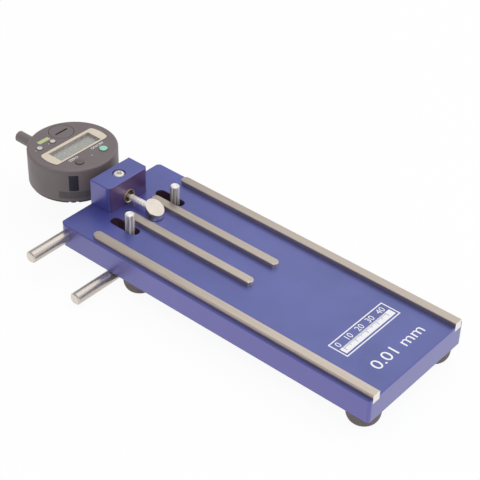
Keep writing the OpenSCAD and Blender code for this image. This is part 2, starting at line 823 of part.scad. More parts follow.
module pin_carriage() {
    color(screw_steel) home() difference() {
        translate([0, carriage_y + carriage_l / 2, 0])
            slab(carriage_w, carriage_l, carriage_top - carriage_h, carriage_h);
        for (side = [-1, 1]) {
            translate([side * shaft_x, 0, shaft_z]) {
                bar_y(bush_d + 2 * press_gap, carriage_y - cut, carriage_rear_y + cut);
            }
            translate([side * pin_x, pin_y, carriage_top - pin_bite - seat_fit]) {
                cylinder(d = pin_d + 2 * press_gap, h = pin_bite + cut);
            }
        }
        translate([0, moving_rod_y, shaft_z]) {
            bar_x(rod_stud_d + 2 * press_gap, -carriage_w / 2 - cut, rod_stud_l + seat_fit - carriage_w / 2);
        }
    }
}

module carriage_bushes() {
    color(brass) home() for (side = [-1, 1]) translate([side * shaft_x, 0, shaft_z]) difference() {
        bar_y(bush_d, carriage_y, carriage_rear_y);
        bar_y(shaft_d + 2 * run_fit, carriage_y - cut, carriage_rear_y + cut);
    }
}

module datum_pin(side) {
    bottom = carriage_top - pin_bite;
    color(bright_steel) home() translate([side * pin_x, pin_y, 0]) {
        translate([0, 0, bottom]) cylinder(d = pin_d, h = pin_h - pin_bevel - bottom);
        translate([0, 0, pin_h - pin_bevel]) cylinder(d1 = pin_d, d2 = pin_d - 2 * pin_bevel, h = pin_bevel);
    }
}

module left_datum_pin() { datum_pin(-1); }
module right_datum_pin() { datum_pin(1); }

module moving_squeeze_rod() {
    color(bright_steel) home() translate([0, moving_rod_y, shaft_z]) {
        rod_with_end(-carriage_w / 2);
        bar_x(rod_stud_d, -carriage_w / 2, rod_stud_l - carriage_w / 2);
    }
}

// Indicator: case, stem and guides

module indicator_case() {
    color(case_grey) home() difference() {
        union() {
            translate([0, body_y, 0]) rotate_extrude() polygon([
                [case_in_r, case_bottom], [body_r, case_bottom], [body_r, case_top],
                [case_upper_r, case_top], [case_upper_r, web_top], [0, web_top],
                [0, web_z], [case_in_r, web_z]]);
            at_cover_screws(case_bottom) cylinder(d = cover_boss_d, h = web_z - case_bottom + web_t / 2);
        }
        translate([0, body_y, ring_z - rest_gap]) difference() {
            cylinder(r = ring_out_r + 0.4, h = ring_h + 2 * rest_gap);
            cylinder(r = case_upper_r - cut, h = ring_h + 2 * rest_gap);
        }
        at_spindle() {
            bar_y(stem_d + 2 * press_gap, stem_seat_y - cut, body_y - case_in_r + cut + 2);
            bar_y(rear_bush_d + 2 * press_gap, rear_bush_y - cut, rear_bush_seat_y + cut);
        }
        at_cover_screws(case_bottom) screw_hole(m2_d, cover_screw_bite);
        at_reader_screws(web_z) screw_hole(m2_d, web_t * 0.6);
    }
}

module back_cover() {
    rib_x = (m2_d + guide_rib_t) / 2 + guide_pin_gap;
    color(black) home() difference() {
        union() {
            translate([0, body_y, back_z]) cylinder(r = cover_r, h = back_cover_t);
            for (side = [-1, 1]) translate([side * rib_x, reader_y, 0])
                slab(guide_rib_t, guide_rib_l, back_z + back_cover_t / 2, back_cover_t / 2 + guide_rib_h);
        }
        for (turn = notch_turns) translate([0, body_y, back_z - cut]) rotate(turn)
            translate([cover_r - notch_depth, -notch_w / 2, 0])
            cube([notch_depth + cut, notch_w, back_cover_t + 2 * cut]);
        at_cover_screws(back_z + m2_head_h) screw_hole(m2_d, back_cover_t, m2_head_d, m2_head_h + cut);
    }
}

module back_cover_screws() {
    color(screw_steel) home() at_cover_screws(back_z + m2_head_h)
        socket_screw(m2_d, m2_head_d, m2_head_h, back_cover_t - m2_head_h + cover_screw_bite);
}

module indicator_stem() {
    color(rail_steel) home() at_spindle() difference() {
        bar_y(stem_d, stem_front_y, stem_rear_y);
        bar_y(stem_bore_d, stem_front_y - cut, stem_rear_y + cut);
        translate([0, stem_front_y, 0]) rotate([-90, 0, 0])
            cylinder(d1 = stem_bore_d + 2 * stem_mouth_bevel, d2 = stem_bore_d, h = stem_mouth_bevel);
    }
}

module stem_guide_bush() {
    color(brass) home() at_spindle() difference() {
        bar_y(stem_bore_d - 2 * press_gap, guide_bush_y, guide_bush_y + guide_bush_l);
        bar_y(spindle_d + 2 * run_fit, guide_bush_y - cut, guide_bush_y + guide_bush_l + cut);
    }
}

module rear_guide_bush() {
    color(brass) home() at_spindle() difference() {
        union() {
            bar_y(rear_bush_d, rear_bush_y, rear_bush_seat_y);
            bar_y(cap_thread_d, rear_bush_seat_y, rear_bush_seat_y + cap_thread_l);
        }
        bar_y(spindle_d + 2 * run_fit, rear_bush_y - cut, rear_bush_seat_y + cap_thread_l + cut);
    }
}

module spindle_cap() {
    color(black) home() at_spindle() difference() {
        union() {
            bar_y(cap_d, rear_bush_seat_y, cap_rear_y - cap_bevel);
            translate([0, cap_rear_y - cap_bevel, 0]) rotate([-90, 0, 0])
                cylinder(d1 = cap_d, d2 = cap_d - 2 * cap_bevel, h = cap_bevel);
        }
        bar_y(cap_thread_d + 2 * press_gap, rear_bush_seat_y - cut,
            rear_bush_seat_y + cap_thread_l + seat_fit);
        bar_y(cap_bore_d, rear_bush_seat_y, cap_rear_y - cap_end_wall);
    }
}

// Return spring of the spindle, closed inside the case
module spindle_spring() {
    color(spring_steel) home() at_spindle() difference() {
        bar_y(spindle_d + 2.4, carrier_y + carrier_l + seat_fit, rear_bush_y - seat_fit);
        bar_y(spindle_d + 2 * moving_gap, carrier_y, rear_bush_y + cut);
    }
}

module reader_board() {
    color(board_green) home() difference() {
        translate([0, reader_y, 0]) slab(reader_w, reader_l, web_z - reader_t, reader_t);
        at_reader_screws(web_z - reader_t) screw_hole(m2_d, reader_t);
    }
}

module reader_screws() {
    color(screw_steel) home() at_reader_screws(web_z - reader_t)
        socket_screw(m2_d, m2_head_d - 0.4, m2_head_h * 0.8, reader_t + web_t * 0.5);
}

// Spindle and what moves with it

module spindle() {
    color(bright_steel) home() at_spindle() difference() {
        bar_y(spindle_d, spindle_front_y, spindle_rear_y);
        bar_y(stud_d + 2 * press_gap, spindle_front_y - cut, spindle_front_y + stud_bite + seat_fit);
    }
}

module scale_carrier() {
    color(screw_steel) home() difference() {
        translate([0, carrier_mid_y, stem_z])
            slab(carrier_w, carrier_l, -carrier_drop, carrier_drop + carrier_rise);
        at_spindle() bar_y(spindle_d + 2 * press_gap, carrier_y - cut, carrier_y + carrier_l + cut);
        translate([0, carrier_mid_y, stem_z - carrier_drop]) screw_hole(m2_d, guide_pin_bite);
    }
}

module encoder_scale() {
    color(brass) home() translate([0, carrier_mid_y, stem_z + carrier_rise])
        slab(carrier_w - 3, carrier_l - 1, 0, scale_t);
}

module anti_rotation_pin() {
    bottom = case_bottom + guide_rib_h * 0.3;
    color(bright_steel) home() translate([0, carrier_mid_y, bottom])
        cylinder(d = m2_d, h = stem_z - carrier_drop + guide_pin_bite - bottom);
}

module probe_shank() {
    color(bright_steel) home() at_spindle() {
        bar_y(shank_d, shank_front_y, shank_rear_y);
        bar_y(stud_d, shank_rear_y, spindle_front_y + stud_bite);
    }
}

module probe_head() {
    color(bright_steel) home() difference() {
        translate([0, probe_y, probe_bottom]) cylinder(d = probe_d, h = probe_top + probe_d - probe_bottom);
        translate([0, probe_y, probe_top]) rotate([probe_slant, 0, 0])
            slab(3 * probe_d, 3 * probe_d, 0, 3 * probe_d);
        at_spindle() bar_y(shank_d + 2 * press_gap, shank_front_y - seat_fit, probe_y + probe_d);
    }
}

// Turning head of the indicator and what it carries

// Outline of the display's frame, with round ends and corners
module bezel_outline(grow) {
    end_r = bezel_r + grow;
    corner_r = bezel_corner_r + grow;
    corner_y = bezel_h / 2 - bezel_corner_r;
    corner_x = sqrt(pow(end_r - corner_r, 2) - pow(corner_y, 2));
    square([2 * corner_x, bezel_h + 2 * grow], center = true);
    for (side = [-1, 1]) {
        intersection() {
            circle(end_r);
            polygon([[0, 0], [side * 2 * corner_x, 2 * corner_y], [side * 2 * corner_x, -2 * corner_y]]);
        }
        for (end = [-1, 1]) translate([side * corner_x, end * corner_y]) circle(corner_r);
    }
}

module display_head() {
    edge = [for (a = [0:10:90]) [body_r - rim_r + rim_r * cos(a), face_z - rim_r + rim_r * sin(a)]];
    color(case_grey) home() difference() {
        union() {
            translate([0, body_y, 0]) rotate_extrude() polygon(concat([
                [0, face_bottom], [barrel_r - barrel_t, face_bottom], [barrel_r - barrel_t, barrel_bottom],
                [barrel_r, barrel_bottom], [barrel_r, rim_z], [body_r, rim_z]], edge, [[0, face_z]]));
            at_posts(board_top) cylinder(r = post_r, h = face_z - face_t / 2 - board_top);
            intersection() {
                at_battery(battery_well_bottom)
                    cylinder(r = battery_well_out_r, h = face_z - face_t / 2 - battery_well_bottom);
                translate([0, body_y, barrel_bottom]) cylinder(r = barrel_r, h = face_z);
            }
        }
        translate([0, body_y, ring_z - seat_fit]) difference() {
            cylinder(r = barrel_r + cut, h = ring_h + 2 * seat_fit);
            cylinder(r = ring_in_r - seat_fit, h = ring_h + 2 * seat_fit);
        }
        translate([0, lcd_y, bezel_seat_z]) linear_extrude(bezel_t + cut) bezel_outline(seat_fit);
        translate([0, window_y, 0]) slab(window_w + 2 * window_lip + 2 * seat_fit,
            window_h + 2 * window_lip + 2 * seat_fit, face_bottom - cut, face_t + 2 * cut);
        at_keys() key_hole(key_d);
        at_small_keys() key_hole(small_key_d);
        at_battery(battery_well_bottom - cut) {
            cylinder(r = battery_well_r, h = face_bottom - battery_well_bottom + cut);
        }
        at_battery(face_bottom - cut) cylinder(d = battery_lip_d + 2 * moving_gap, h = face_t + 2 * cut);
        at_battery(face_z - battery_cover_t - rest_gap) {
            cylinder(d = battery_cover_d + 2 * moving_gap, h = battery_cover_t + cut);
        }
        at_posts(board_top - seat_fit) screw_hole(m2_d, 2.6);
    }
}

module at_keys() {
    on_face(key_place) children();
    on_face([-key_place[0], key_place[1]]) children();
}

module at_small_keys() {
    on_face(left_small_key_place) children();
    on_face(right_small_key_place) children();
}

module key_hole(d) {
    translate([0, 0, face_bottom - cut]) cylinder(d = d + 2 * key_gap, h = face_t + 2 * cut);
}

// Split ring that keeps the head in the case and lets it turn
module head_ring() {
    color(spring_steel) home() translate([0, body_y, ring_z]) difference() {
        cylinder(r = ring_out_r, h = ring_h);
        translate([0, 0, -cut]) cylinder(r = ring_in_r, h = ring_h + 2 * cut);
        translate([0, body_r / 2 + cut, -cut]) slab(4, body_r, 0, ring_h + 2 * cut);
    }
}

module display_bezel() {
    color(cream) home() translate([0, lcd_y, bezel_seat_z]) linear_extrude(bezel_t) difference() {
        bezel_outline(0);
        translate([0, -window_lead]) square([window_w, window_h], center = true);
    }
}

module lcd_window() {
    color(clear) home() translate([0, window_y, 0])
        slab(window_w + 2 * window_lip, window_h + 2 * window_lip, bezel_seat_z - window_t, window_t);
}

module lcd_panel() {
    color(lcd_grey) home() translate([0, window_y, 0]) slab(panel_w, panel_h, face_bottom - panel_t, panel_t);
}

module lcd_connector() {
    color(rubber) home() translate([0, window_y - panel_h / 2 + 1.4, 0])
        slab(panel_w - 4, 2, board_top, connector_h);
}

module circuit_board() {
    color(board_green) home() difference() {
        translate([0, body_y, board_z]) cylinder(r = board_r, h = board_t);
        at_battery(board_z - cut) cylinder(r = battery_well_out_r + 0.3, h = board_t + 2 * cut);
        at_posts(board_z) screw_hole(m2_d, board_t);
    }
}

module board_screws() {
    color(screw_steel) home() at_posts(board_z) socket_screw(m2_d, m2_head_d, m2_head_h, board_t + 2.4);
}

module key_switches() {
    color(black) home() {
        at_keys() slab(switch_size, switch_size, board_top, switch_h);
        at_small_keys() slab(switch_size, switch_size, board_top, switch_h);
    }
}

module battery_cell() {
    color(bright_steel) home() at_battery(battery_well_bottom + seat_fit) cylinder(d = cell_d, h = cell_h);
}

module battery_contact() {
    color(brass) home() at_battery(battery_well_bottom - contact_t) intersection() {
        cylinder(r = battery_well_out_r, h = contact_t);
        translate([-battery_place[0], -battery_place[1], -cut])
            cylinder(r = barrel_r - barrel_t, h = contact_t + 2 * cut);
    }
}

module battery_cover() {
    color(case_grey) home() at_battery(0) difference() {
        union() {
            translate([0, 0, battery_spigot_z]) {
                cylinder(d = battery_lip_d, h = face_z - battery_cover_t / 2 - battery_spigot_z);
            }
            translate([0, 0, face_z - battery_cover_t]) cylinder(d = battery_cover_d, h = battery_cover_t);
        }
        slab(coin_slot_l, coin_slot_w, face_z - coin_slot_depth, coin_slot_depth + cut);
    }
}

// Key with a flange that holds it under the face
module key(d) {
    bevel_z = face_z + key_proud - key_bevel;
    translate([0, 0, key_flange_top]) cylinder(d = d, h = bevel_z - key_flange_top);
    translate([0, 0, bevel_z]) cylinder(d1 = d, d2 = d - 2 * key_bevel, h = key_bevel);
    translate([0, 0, key_flange_top - key_flange_t]) {
        cylinder(d = d + 2 * key_flange_lip, h = key_flange_t);
    }
}

module on_off_key() { color(key_green) home() on_face(key_place) key(key_d); }
module zero_key() { color(black) home() on_face([-key_place[0], key_place[1]]) key(key_d); }
module left_small_key() { color(key_light) home() on_face(left_small_key_place) key(small_key_d); }
module right_small_key() { color(key_light) home() on_face(right_small_key_place) key(small_key_d); }

base_plate();
outer_rail_left();
outer_rail_right();
inner_rail_left();
inner_rail_right();
rail_screws();
front_left_foot();
front_right_foot();
rear_left_foot();
rear_right_foot();
foot_screws();
fixed_squeeze_rod();
indicator_block();
block_screws();
stem_clamp_screw();
stem_clamp_pad();
front_guide_bracket();
rear_guide_bracket();
bracket_screws();
left_guide_shaft();
right_guide_shaft();
left_carriage_spring();
right_carriage_spring();
pin_carriage();
carriage_bushes();
left_datum_pin();
right_datum_pin();
moving_squeeze_rod();
indicator_case();
back_cover();
back_cover_screws();
indicator_stem();
stem_guide_bush();
rear_guide_bush();
spindle_cap();
spindle_spring();
reader_board();
reader_screws();
spindle();
scale_carrier();
encoder_scale();
anti_rotation_pin();
probe_shank();
probe_head();
display_head();
head_ring();
display_bezel();
lcd_window();
lcd_panel();
lcd_connector();
circuit_board();
board_screws();
key_switches();
battery_cell();
battery_contact();
battery_cover();
on_off_key();
zero_key();
left_small_key();
right_small_key();
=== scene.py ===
"""Finishes, print, springs and keys of the packed flange width gauge, and the studio around it."""

import json
import math

import bmesh
import bpy
from mathutils import Matrix, Vector

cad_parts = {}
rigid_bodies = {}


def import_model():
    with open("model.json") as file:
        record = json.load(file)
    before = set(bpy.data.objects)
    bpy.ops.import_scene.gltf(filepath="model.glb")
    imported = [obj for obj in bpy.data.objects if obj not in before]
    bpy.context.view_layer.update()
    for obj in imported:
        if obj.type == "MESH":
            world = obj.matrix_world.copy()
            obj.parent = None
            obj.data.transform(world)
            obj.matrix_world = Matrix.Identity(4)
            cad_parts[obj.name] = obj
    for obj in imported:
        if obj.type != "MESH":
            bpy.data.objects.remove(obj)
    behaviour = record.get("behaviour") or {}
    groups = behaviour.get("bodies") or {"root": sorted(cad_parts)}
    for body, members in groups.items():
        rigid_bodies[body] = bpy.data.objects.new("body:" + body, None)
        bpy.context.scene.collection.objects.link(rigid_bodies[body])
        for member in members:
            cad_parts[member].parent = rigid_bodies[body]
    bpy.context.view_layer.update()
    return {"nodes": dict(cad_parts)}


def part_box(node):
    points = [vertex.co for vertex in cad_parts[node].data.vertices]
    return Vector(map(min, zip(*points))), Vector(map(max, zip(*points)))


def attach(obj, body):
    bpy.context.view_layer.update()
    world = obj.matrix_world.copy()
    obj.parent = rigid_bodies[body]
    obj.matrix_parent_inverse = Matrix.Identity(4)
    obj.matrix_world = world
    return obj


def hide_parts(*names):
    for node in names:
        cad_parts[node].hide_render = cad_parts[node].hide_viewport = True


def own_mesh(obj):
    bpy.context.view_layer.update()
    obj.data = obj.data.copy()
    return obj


bl_info = {
    "name": "Flange Width Gauge",
    "version": (1, 0, 0),
    "blender": (4, 5, 0),
    "location": "View3D > Sidebar > Gauge",
    "description": "Finishes, print and small fittings for a bench gauge with a digital indicator",
    "category": "Object",
}

for leftover in list(bpy.data.objects):
    bpy.data.objects.remove(leftover)

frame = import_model()
PLATE_LOW, PLATE_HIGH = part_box("base_plate")
CASE_LOW, CASE_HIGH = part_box("indicator_case")
PANEL_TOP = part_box("lcd_panel")[1].z
WINDOW_LOW, WINDOW_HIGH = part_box("lcd_window")
BEZEL_LOW, BEZEL_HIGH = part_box("display_bezel")
PROBE_LOW, PROBE_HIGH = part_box("probe_head")


def middle_of(node):
    """Middle of the box around a CAD node."""
    low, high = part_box(node)
    return (low + high) / 2


MM = 0.001
FULL_TURN = 2 * math.pi
WHITE = (1.0, 1.0, 1.0, 1.0)
PRINT_DEPTH = 0.03 * MM
FACE_X, FACE_Y = middle_of("display_head").xy
FACE_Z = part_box("display_head")[1].z
CASE_RADIUS = (CASE_HIGH.x - CASE_LOW.x) / 2
PLATE_X = middle_of("base_plate").x
KEY_NODES = ("on_off_key", "zero_key", "left_small_key", "right_small_key")


# Properties

def linear(channel):
    """One channel of a screen colour, 0 to 255, as a share of light."""
    share = channel / 255
    return share / 12.92 if share <= 0.04045 else ((share + 0.055) / 1.055) ** 2.4


def colour(name, description, red, green, blue):
    """A colour property whose default is given as a screen colour."""
    return bpy.props.FloatVectorProperty(
        name=name,
        description=description,
        subtype="COLOR",
        size=4,
        min=0.0,
        max=1.0,
        default=(linear(red), linear(green), linear(blue), 1.0),
    )


def length(name, description, millimetres):
    """A length property whose default is given in millimetres."""
    return bpy.props.FloatProperty(
        name=name, description=description, default=millimetres * MM, precision=5, unit="LENGTH"
    )


def angle(name, description, degrees):
    """An angle property whose default is given in degrees."""
    return bpy.props.FloatProperty(
        name=name, description=description, default=math.radians(degrees), subtype="ANGLE"
    )


def amount(name, description, default):
    """A plain number property."""
    return bpy.props.FloatProperty(name=name, description=description, default=default)


def count(name, description, default):
    """A whole number property."""
    return bpy.props.IntProperty(name=name, description=description, default=default, min=1)


class GaugeColours(bpy.types.PropertyGroup):
    """Colours of the finishes."""

    # Deep and pale blue vary the top at random, and the top also turns from deep to pale towards the
    # plate's rear as painted light
    blue_deep: colour("Deep blue", "Anodised metal where the dye took most", 57, 69, 142)
    blue_pale: colour("Pale blue", "Anodised metal where the dye took least", 86, 93, 174)
    # Painted shade: upright faces take a darker, more purple blue than the top
    blue_side: colour("Blue side", "Anodised metal on the sawn sides", 85, 81, 164)
    # Painted shade along the anodised edges and on upright faces towards the rear
    blue_edge: colour("Blue edge", "Anodised metal along its edges", 62, 60, 132)
    # Painted shade on the block's front
    blue_front: colour("Blue front", "Anodised metal on the block's front", 106, 76, 124)
    # Painted shade in the plate's slots and grooves
    blue_inside: colour("Blue inside", "Anodised metal in the plate's slots and grooves", 112, 78, 100)
    rail: colour("Rail", "Ground steel of the rails", 212, 200, 188)
    rail_line: colour("Rail line", "Grinding lines of the rails", 187, 175, 164)
    # Painted shade on the rails' long sides
    rail_side: colour("Rail side", "Long sides of the rails, which aren't ground", 200, 184, 170)
    # Also the painted highlight on the rods' end faces
    bright: colour("Bright steel", "Turned spindle, shafts and probe", 220, 213, 204)
    bright_line: colour("Bright steel line", "Turning marks on the bright steel", 200, 193, 185)
    pin: colour("Pin", "Drawn steel of the datum pins", 255, 251, 248)
    # Painted reflection: dark streaks along the pins stand in for the reflections in their sides
    pin_line: colour("Pin line", "Drawing lines along the datum pins", 120, 112, 114)
    rod: colour("Rod", "Polished squeeze rods", 196, 188, 180)
    stem: colour("Stem", "Stem of the indicator", 226, 206, 172)
    # Also the painted highlight on the rails' ends
    screw: colour("Screw", "Plated screws", 240, 234, 227)
    alloy: colour("Alloy", "Milled alloy of the carriage", 168, 170, 174)
    wire: colour("Wire", "Spring wire", 128, 126, 124)
    brass: colour("Brass", "Bushes, clamp pad and contact", 186, 156, 100)
    rubber: colour("Rubber", "Feet", 108, 97, 96)
    case: colour("Case", "Moulded case and face of the indicator", 116, 106, 107)
    cap: colour("Cap", "Rear cap of the indicator", 122, 112, 113)
    back: colour("Back", "Back cover of the indicator", 64, 56, 57)
    cream: colour("Cream", "Frame around the display", 224, 211, 192)
    display: colour("Display", "Ground of the display", 163, 163, 157)
    segment: colour("Segment", "Idle segments of the display", 142, 140, 131)
    # Painted shadow along the display's far and right sides
    border: colour("Border", "Border of the display at its far and right sides", 141, 133, 130)
    glass: colour("Glass", "Display window and scale", 236, 240, 238)
    # Painted shade between the ribs
    rib_groove: colour("Rib groove", "Grooves between the ribs of the case", 92, 83, 84)
    # Painted shade in the gaps and slots of the indicator's face
    recess: colour("Recess", "Gaps and slots in the indicator's face", 38, 32, 33)
    # Painted shade on the walls of the opening around the display
    reveal: colour("Reveal", "Walls of the opening around the display", 184, 175, 170)
    key_green: colour("Green key", "Key that switches the indicator on", 160, 218, 194)
    key_dark: colour("Dark key", "Key that sets the reading to zero", 101, 92, 91)
    key_light: colour("Light key", "Two small keys", 210, 204, 203)
    lime: colour("Lime label", "Bare label beside the small keys", 186, 196, 142)
    dark_label: colour("Dark label", "Bare label on the side of the case", 30, 28, 38)
    print_white: colour("White print", "Print on the plate and on the face", 238, 238, 242)
    board: colour("Board", "Circuit boards", 36, 92, 62)
    copper: colour("Copper", "Tracks on the circuit boards", 122, 138, 74)


class GaugePrint(bpy.types.PropertyGroup):
    """Sizes of the print on the plate and the face, and of the display's digits."""

    panel_width: length("Scale width", "Outer width of the printed scale", 50.9)
    panel_height: length("Scale height", "Outer height of the printed scale", 14.0)
    panel_in: length("Scale inset", "From the plate's front edge to the scale", 31.0)
    panel_aside: length("Scale offset", "From the plate's middle to the scale's middle", 1.25)
    frame_line: length("Frame line", "Width of the line around the scale", 0.8)
    band_height: length("Band height", "Height of the white band under the numbers", 5.0)
    tick_pitch: length("Tick pitch", "Distance between two ticks", 1.0)
    tick_width: length("Tick width", "Width of one tick", 0.28)
    tick_short: length("Short tick", "Length of the ticks at each unit", 1.6)
    tick_middle: length("Middle tick", "Length of the ticks at every fifth unit", 2.6)
    tick_long: length("Long tick", "Length of the ticks at every tenth unit", 3.6)
    last_tick: count("Last tick", "Number at the end of the scale", 40)
    tick_start: length("Tick start", "From the white band's left end to the first tick", 2.5)
    number_height: length("Number height", "Height of the scale's numbers", 4.2)
    caption_height: length("Caption height", "Height of the words in front of the scale", 7.6)
    caption_in: length("Caption inset", "From the plate's front edge to the words", 11.5)
    caption_width: length("Caption width", "Width of the words in front of the scale", 45.0)
    digit_count: count("Digits", "Number of idle digits in the display", 6)
    digit_pitch: length("Digit pitch", "Distance between two idle digits", 5.0)
    digit_width: length("Digit width", "Width of an idle digit between its strokes", 3.1)
    digit_height: length("Digit height", "Height of an idle digit between its strokes", 6.6)
    digit_stroke: length("Digit stroke", "Width of a digit's strokes", 0.55)
    key_word: length("Key word height", "Height of the words at the keys", 2.1)
    word_rise: length("Key word rise", "From the middle of a key to the middle of its word", 5.7)
    dot_width: length("Dot width", "Width of a dot at the keys", 0.7)
    dot_gap: length("Dot gap", "From the foot of a small key to its dot", 0.6)
    dot_rise: length("Dot rise", "From the foot of the large keys to the dot between them", 3.6)
    dot_aside: length("Dot offset", "From the face's middle to the dot between the large keys", 0.5)
    lime_width: length("Lime label width", "Width of the bare label on the face", 9.2)
    lime_height: length("Lime label height", "Height of the bare label on the face", 3.2)
    lime_corner: length("Lime label corner", "Radius of the bare label's corners", 0.4)
    lime_left: length("Lime label left", "From the face's middle to the bare label, to the left", 9.0)
    lime_up: length("Lime label up", "From the face's middle to the bare label, to the rear", 17.5)


class GaugeFittings(bpy.types.PropertyGroup):
    """Sizes of the ribs, keys, grooves, springs and side label."""

    rib_count: count("Ribs", "Number of ribs on the side of the case", 62)
    rib_span: angle("Rib span", "Part of the case that the ribs cover, about the stem", 124.0)
    rib_gap: angle("Rib gap", "Part of the case that the ribs leave free at the stem", 21.0)
    rib_width: length("Rib width", "Width of one rib", 0.62)
    rib_height: length("Rib height", "Length of one rib up the side of the case", 5.0)
    rib_start: length("Rib start", "From the case's bottom to the ribs", 2.1)
    rib_sunk: length("Rib depth", "From the case's side in to the middle of a rib", 0.08)
    key_dome: length("Key dome", "Rise of a key's top from its edge to its middle", 0.25)
    key_lip: length("Key lip", "Hidden flange around the foot of a key", 0.9)
    key_flange: length("Key flange", "Thickness of that flange", 0.8)
    # Painted shadow: width of the shadow along the display's far and right sides
    display_border: length("Display border", "Width of the border at the display's edge", 2.0)
    bezel_corner: length("Frame corner", "Radius of the corners of the display's frame", 2.5)
    # Painted shade: width of the dark rings drawn on the face around the frame and the keys
    face_groove: length("Face groove", "Width of the dark grooves around the frame and the keys", 0.3)
    label_width: angle("Side label width", "Part of the case that the dark label covers", 12.0)
    label_turn: angle("Side label turn", "From the stem to the middle of the dark label", 43.0)
    label_low: length("Side label low", "From the case's bottom to the dark label", 8.0)
    label_height: length("Side label height", "Height of the dark label", 11.5)
    label_rise: length("Side label rise", "Thickness of the dark label over the case", 0.08)
    carriage_wire: length("Carriage wire", "Wire of the two carriage springs", 0.7)
    carriage_turns: amount("Carriage turns", "Turns of each carriage spring", 8.0)
    spindle_wire: length("Spindle wire", "Wire of the spindle's spring", 0.6)
    spindle_turns: amount("Spindle turns", "Turns of the spindle's spring", 14.0)


class GaugeStage(bpy.types.PropertyGroup):
    """The camera, the lamps, the sky and the floor."""

    aim: bpy.props.FloatVectorProperty(
        name="Aim",
        description="Point that the camera looks at",
        subtype="TRANSLATION",
        default=(26.57 * MM, -22.63 * MM, 30.86 * MM),
    )
    distance: length("Distance", "From the aim to the camera", 825.04)
    azimuth: angle("Azimuth", "Camera's turn around the part, from its front", -50.45)
    elevation: angle("Elevation", "Camera's height above the aim", 37.136)
    roll: angle("Roll", "Camera's turn about its own line of sight", 1.736)
    lens: amount("Lens", "Focal length in millimetres on a 36 mm sensor", 101.62)
    top_lamp: amount("Top lamp", "Power of the soft lamp above, in watts", 4.5)
    right_lamp: amount("Right lamp", "Power of the soft lamp at the right, in watts", 1.7)
    camera_lamp: amount("Camera lamp", "Power of the lamp beside the camera, in watts", 3.2)
    front_lamp: amount("Front lamp", "Power of the soft lamp at the front right, in watts", 4.4)
    sky: amount("Sky", "Strength of the soft light from all around", 0.8)
    sky_slope: amount("Sky slope", "How much brighter the sky is on its bright side", 0.1)
    bright_side: bpy.props.FloatVectorProperty(
        name="Bright side",
        description="Way to the sky's bright side",
        subtype="DIRECTION",
        default=(0.7, -0.7, 0.0),
    )
    floor_size: length("Floor size", "Side of the square floor", 12000.0)
    floor_glow: amount("Floor glow", "Share of the floor that is seen as plain white", 0.93)


# Nodes

class Value:
    """A node's output that takes part in plain sums."""

    def __init__(self, maker, socket):
        self.maker = maker
        self.socket = socket

    def __add__(self, other):
        return self.maker.math("ADD", self, other)

    def __radd__(self, other):
        return self.maker.math("ADD", other, self)

    def __sub__(self, other):
        return self.maker.math("SUBTRACT", self, other)

    def __rsub__(self, other):
        return self.maker.math("SUBTRACT", other, self)

    def __mul__(self, other):
        return self.maker.math("MULTIPLY", self, other)

    def __rmul__(self, other):
        return self.maker.math("MULTIPLY", other, self)

    def __truediv__(self, other):
        return self.maker.math("DIVIDE", self, other)

    def __rtruediv__(self, other):
        return self.maker.math("DIVIDE", other, self)

    def held(self):
        """The same value, kept between 0 and 1."""
        return self.maker.math("ADD", self, 0.0, True)


class Maker:
    """Adds nodes to one tree, each from its type, its settings and its sockets."""

    def __init__(self, tree):
        self.tree = tree

    def node(self, kind, settings=None, sockets=None, output=0):
        made = self.tree.nodes.new(kind)
        for name, setting in (settings or {}).items():
            if name == "stops":
                set_stops(made.color_ramp, setting)
            else:
                setattr(made, name, setting)
        for name, value in (sockets or {}).items():
            self.feed(made.inputs[name], value)
        return Value(self, made.outputs[output]) if made.outputs else made

    def feed(self, socket, value):
        if isinstance(value, Value):
            self.tree.links.new(value.socket, socket)
        else:
            socket.default_value = value

    def math(self, operation, first, second, held=False):
        settings = {"operation": operation, "use_clamp": held}
        return self.node("ShaderNodeMath", settings, {0: first, 1: second})


def set_stops(ramp, stops):
    """Give a colour ramp these places and colours, with no others."""
    while len(ramp.elements) > 1:
        ramp.elements.remove(ramp.elements[-1])
    for index, (place, shade) in enumerate(stops):
        element = ramp.elements[0] if index == 0 else ramp.elements.new(place)
        element.position = place
        element.color = shade


